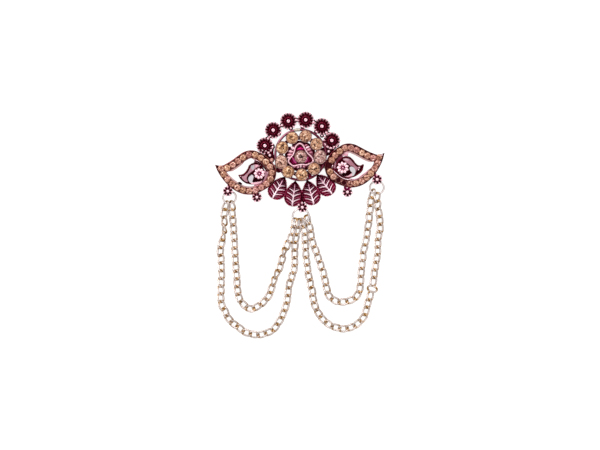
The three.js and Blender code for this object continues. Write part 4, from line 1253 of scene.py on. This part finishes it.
for word, route in chains.items():
    makeChain(word, route)


# Pin fitting behind the casting.
pin = {'y': -4.6, 'half': 12.4, 'width': 3.0, 'thick': 0.7, 'gap': 0.12, 'stem': 0.45, 'barrel': 1.2,
       'fitting': 2.2, 'bore': 0.65, 'from': 90, 'to': 378, 'post': 1.1, 'pastCatch': 0.4, 'point': 1.2,
       'corner': 0.5, 'postCorner': 0.15, 'bevel': 0.08,
       'knuckles': [(-1.5, -0.75, 1.2), (-0.65, 0.65, 1.1), (0.75, 1.5, 1.2)]}


def roundedBar(halfLength, halfWidth, radius, steps=5):
    corners = []
    for cx, cy, start in ((1, 1, 0), (-1, 1, 90), (-1, -1, 180), (1, -1, 270)):
        for k in range(steps + 1):
            angle = math.radians(start + 90 * k / steps)
            corners.append((cx * (halfLength - radius) + radius * math.cos(angle),
                            cy * (halfWidth - radius) + radius * math.sin(angle)))
    return np.array(corners)


def makePin():
    piece = Piece('pin_fitting')
    top, low = -pin['gap'], -pin['gap'] - pin['thick']
    y, half, wide, bevel = pin['y'], pin['width'] / 2, pin['fitting'] / 2, pin['bevel']
    axis = pin['barrel'] - backHeight
    fittingX = pin['half'] - wide
    bar = block(roundedBar(pin['half'], half, pin['corner']),
                [(bevel, low), (0, low + bevel), (0, top - bevel), (bevel, top)])
    piece.add(moved(bar, (0, y, 0)), 'pinSteel', tone=0.5)
    for begin, end, reach in pin['knuckles']:
        knuckle = turned([(0, begin), (reach - 0.1, begin), (reach, begin + 0.1), (reach, end - 0.1),
                          (reach - 0.1, end), (0, end)], 24)
        piece.add(moved(reordered(knuckle, [0, 2, 1]), (-fittingX, y, axis)), 'pinSteel', tone=0.55)
    post = block(roundedBar(pin['post'] / 2, half - 0.05, pin['postCorner'], 3),
                 [(0, axis + 0.3), (0, low + 0.1)])
    piece.add(moved(post, (-fittingX, y, 0)), 'pinSteel', tone=0.45)
    catchEnd = fittingX + pin['pastCatch']
    stem = [(x, y, axis) for x in (-fittingX, -4, 4, catchEnd, catchEnd + 0.6, catchEnd + pin['point'])]
    piece.add(tube(stem, [pin['stem']] * 4 + [0.28, 0.04], 12), 'pinSteel', tone=0.75)
    angle = np.radians(np.linspace(pin['from'], pin['to'], 29))
    arc = np.column_stack((np.cos(angle), np.sin(angle)))
    hook = block(np.vstack((arc * pin['barrel'], arc[::-1] * pin['bore'])),
                 [(0.05, -wide), (0, 0.05 - wide), (0, wide - 0.05), (0.05, wide)])
    piece.add(moved(reordered(hook, [2, 0, 1]), (fittingX, y, axis)), 'pinSteel', tone=0.6)
    hookPost = block(roundedBar(wide - 0.05, pin['post'] / 2, pin['postCorner'], 3),
                     [(0, axis + pin['bore'] + 0.15), (0, low + 0.1)])
    piece.add(moved(hookPost, (fittingX, y - pin['post'] / 2, 0)), 'pinSteel', tone=0.45)
    piece.make('pin_steel', 'brooch_pin')


makePin()
print('pin made')


# Table, light and camera.
studio = {'cameraX': 0.06, 'cameraY': -0.14, 'cameraHeight': 1503, 'lens': 225, 'table': 1200,
          'tableGlow': 0.97, 'tableWhite': 0.2, 'world': 0.5}
lamps = {
    'x': [-320, 330, 0, -60], 'y': [260, 200, -380, 420], 'z': [420, 430, 380, 300],
    'size': [260, 220, 260, 200], 'power': [1.6, 0.9, 0.7, 0.7],
}


def makeTable():
    half = studio['table'] / 2 * mm
    mesh = bpy.data.meshes.new('table')
    corners = [(-half, -half, 0), (half, -half, 0), (half, half, 0), (-half, half, 0)]
    mesh.from_pydata(corners, [], [[0, 1, 2, 3]])
    m = Look('white_table')
    colour = m.mix(m.noise(40), (0.95, 0.95, 0.95, 1), (1, 1, 1, 1))
    shader = m.node('BsdfPrincipled', {}, {'Base Color': (*[studio['tableWhite']] * 3, 1), 'Roughness': 0.9,
                                           'Specular IOR Level': 0.0, 'Emission Color': colour,
                                           'Emission Strength': studio['tableGlow']})
    m.node('OutputMaterial', {}, {'Surface': shader})
    mesh.materials.append(m.material)
    table = bpy.data.objects.new('table', mesh)
    bpy.context.scene.collection.objects.link(table)


def makeStudio():
    scene = bpy.context.scene
    for i, (x, y, z, size, power) in enumerate(zip(*lamps.values())):
        light = bpy.data.lights.new(f'softbox_{i + 1}', 'AREA')
        light.size, light.energy = size * mm, power
        lamp = bpy.data.objects.new(f'softbox_{i + 1}', light)
        lamp.location = np.array([x, y, z]) * mm
        lamp.rotation_euler = lamp.location.to_track_quat('Z', 'Y').to_euler()
        scene.collection.objects.link(lamp)
    world = bpy.data.worlds.new('studio')
    world.use_nodes = True
    back = world.node_tree.nodes['Background']
    back.inputs['Color'].default_value = (1, 1, 1, 1)
    back.inputs['Strength'].default_value = studio['world']
    scene.world = world
    lens = bpy.data.cameras.new('camera')
    lens.lens, lens.sensor_width, lens.clip_start = studio['lens'], 36, 0.05
    camera = bpy.data.objects.new('camera', lens)
    camera.location = (studio['cameraX'] * mm, studio['cameraY'] * mm, studio['cameraHeight'] * mm)
    scene.collection.objects.link(camera)
    scene.camera = camera
    scene.view_settings.view_transform = 'Standard'


makeTable()
makeStudio()
print('table, light and camera made')
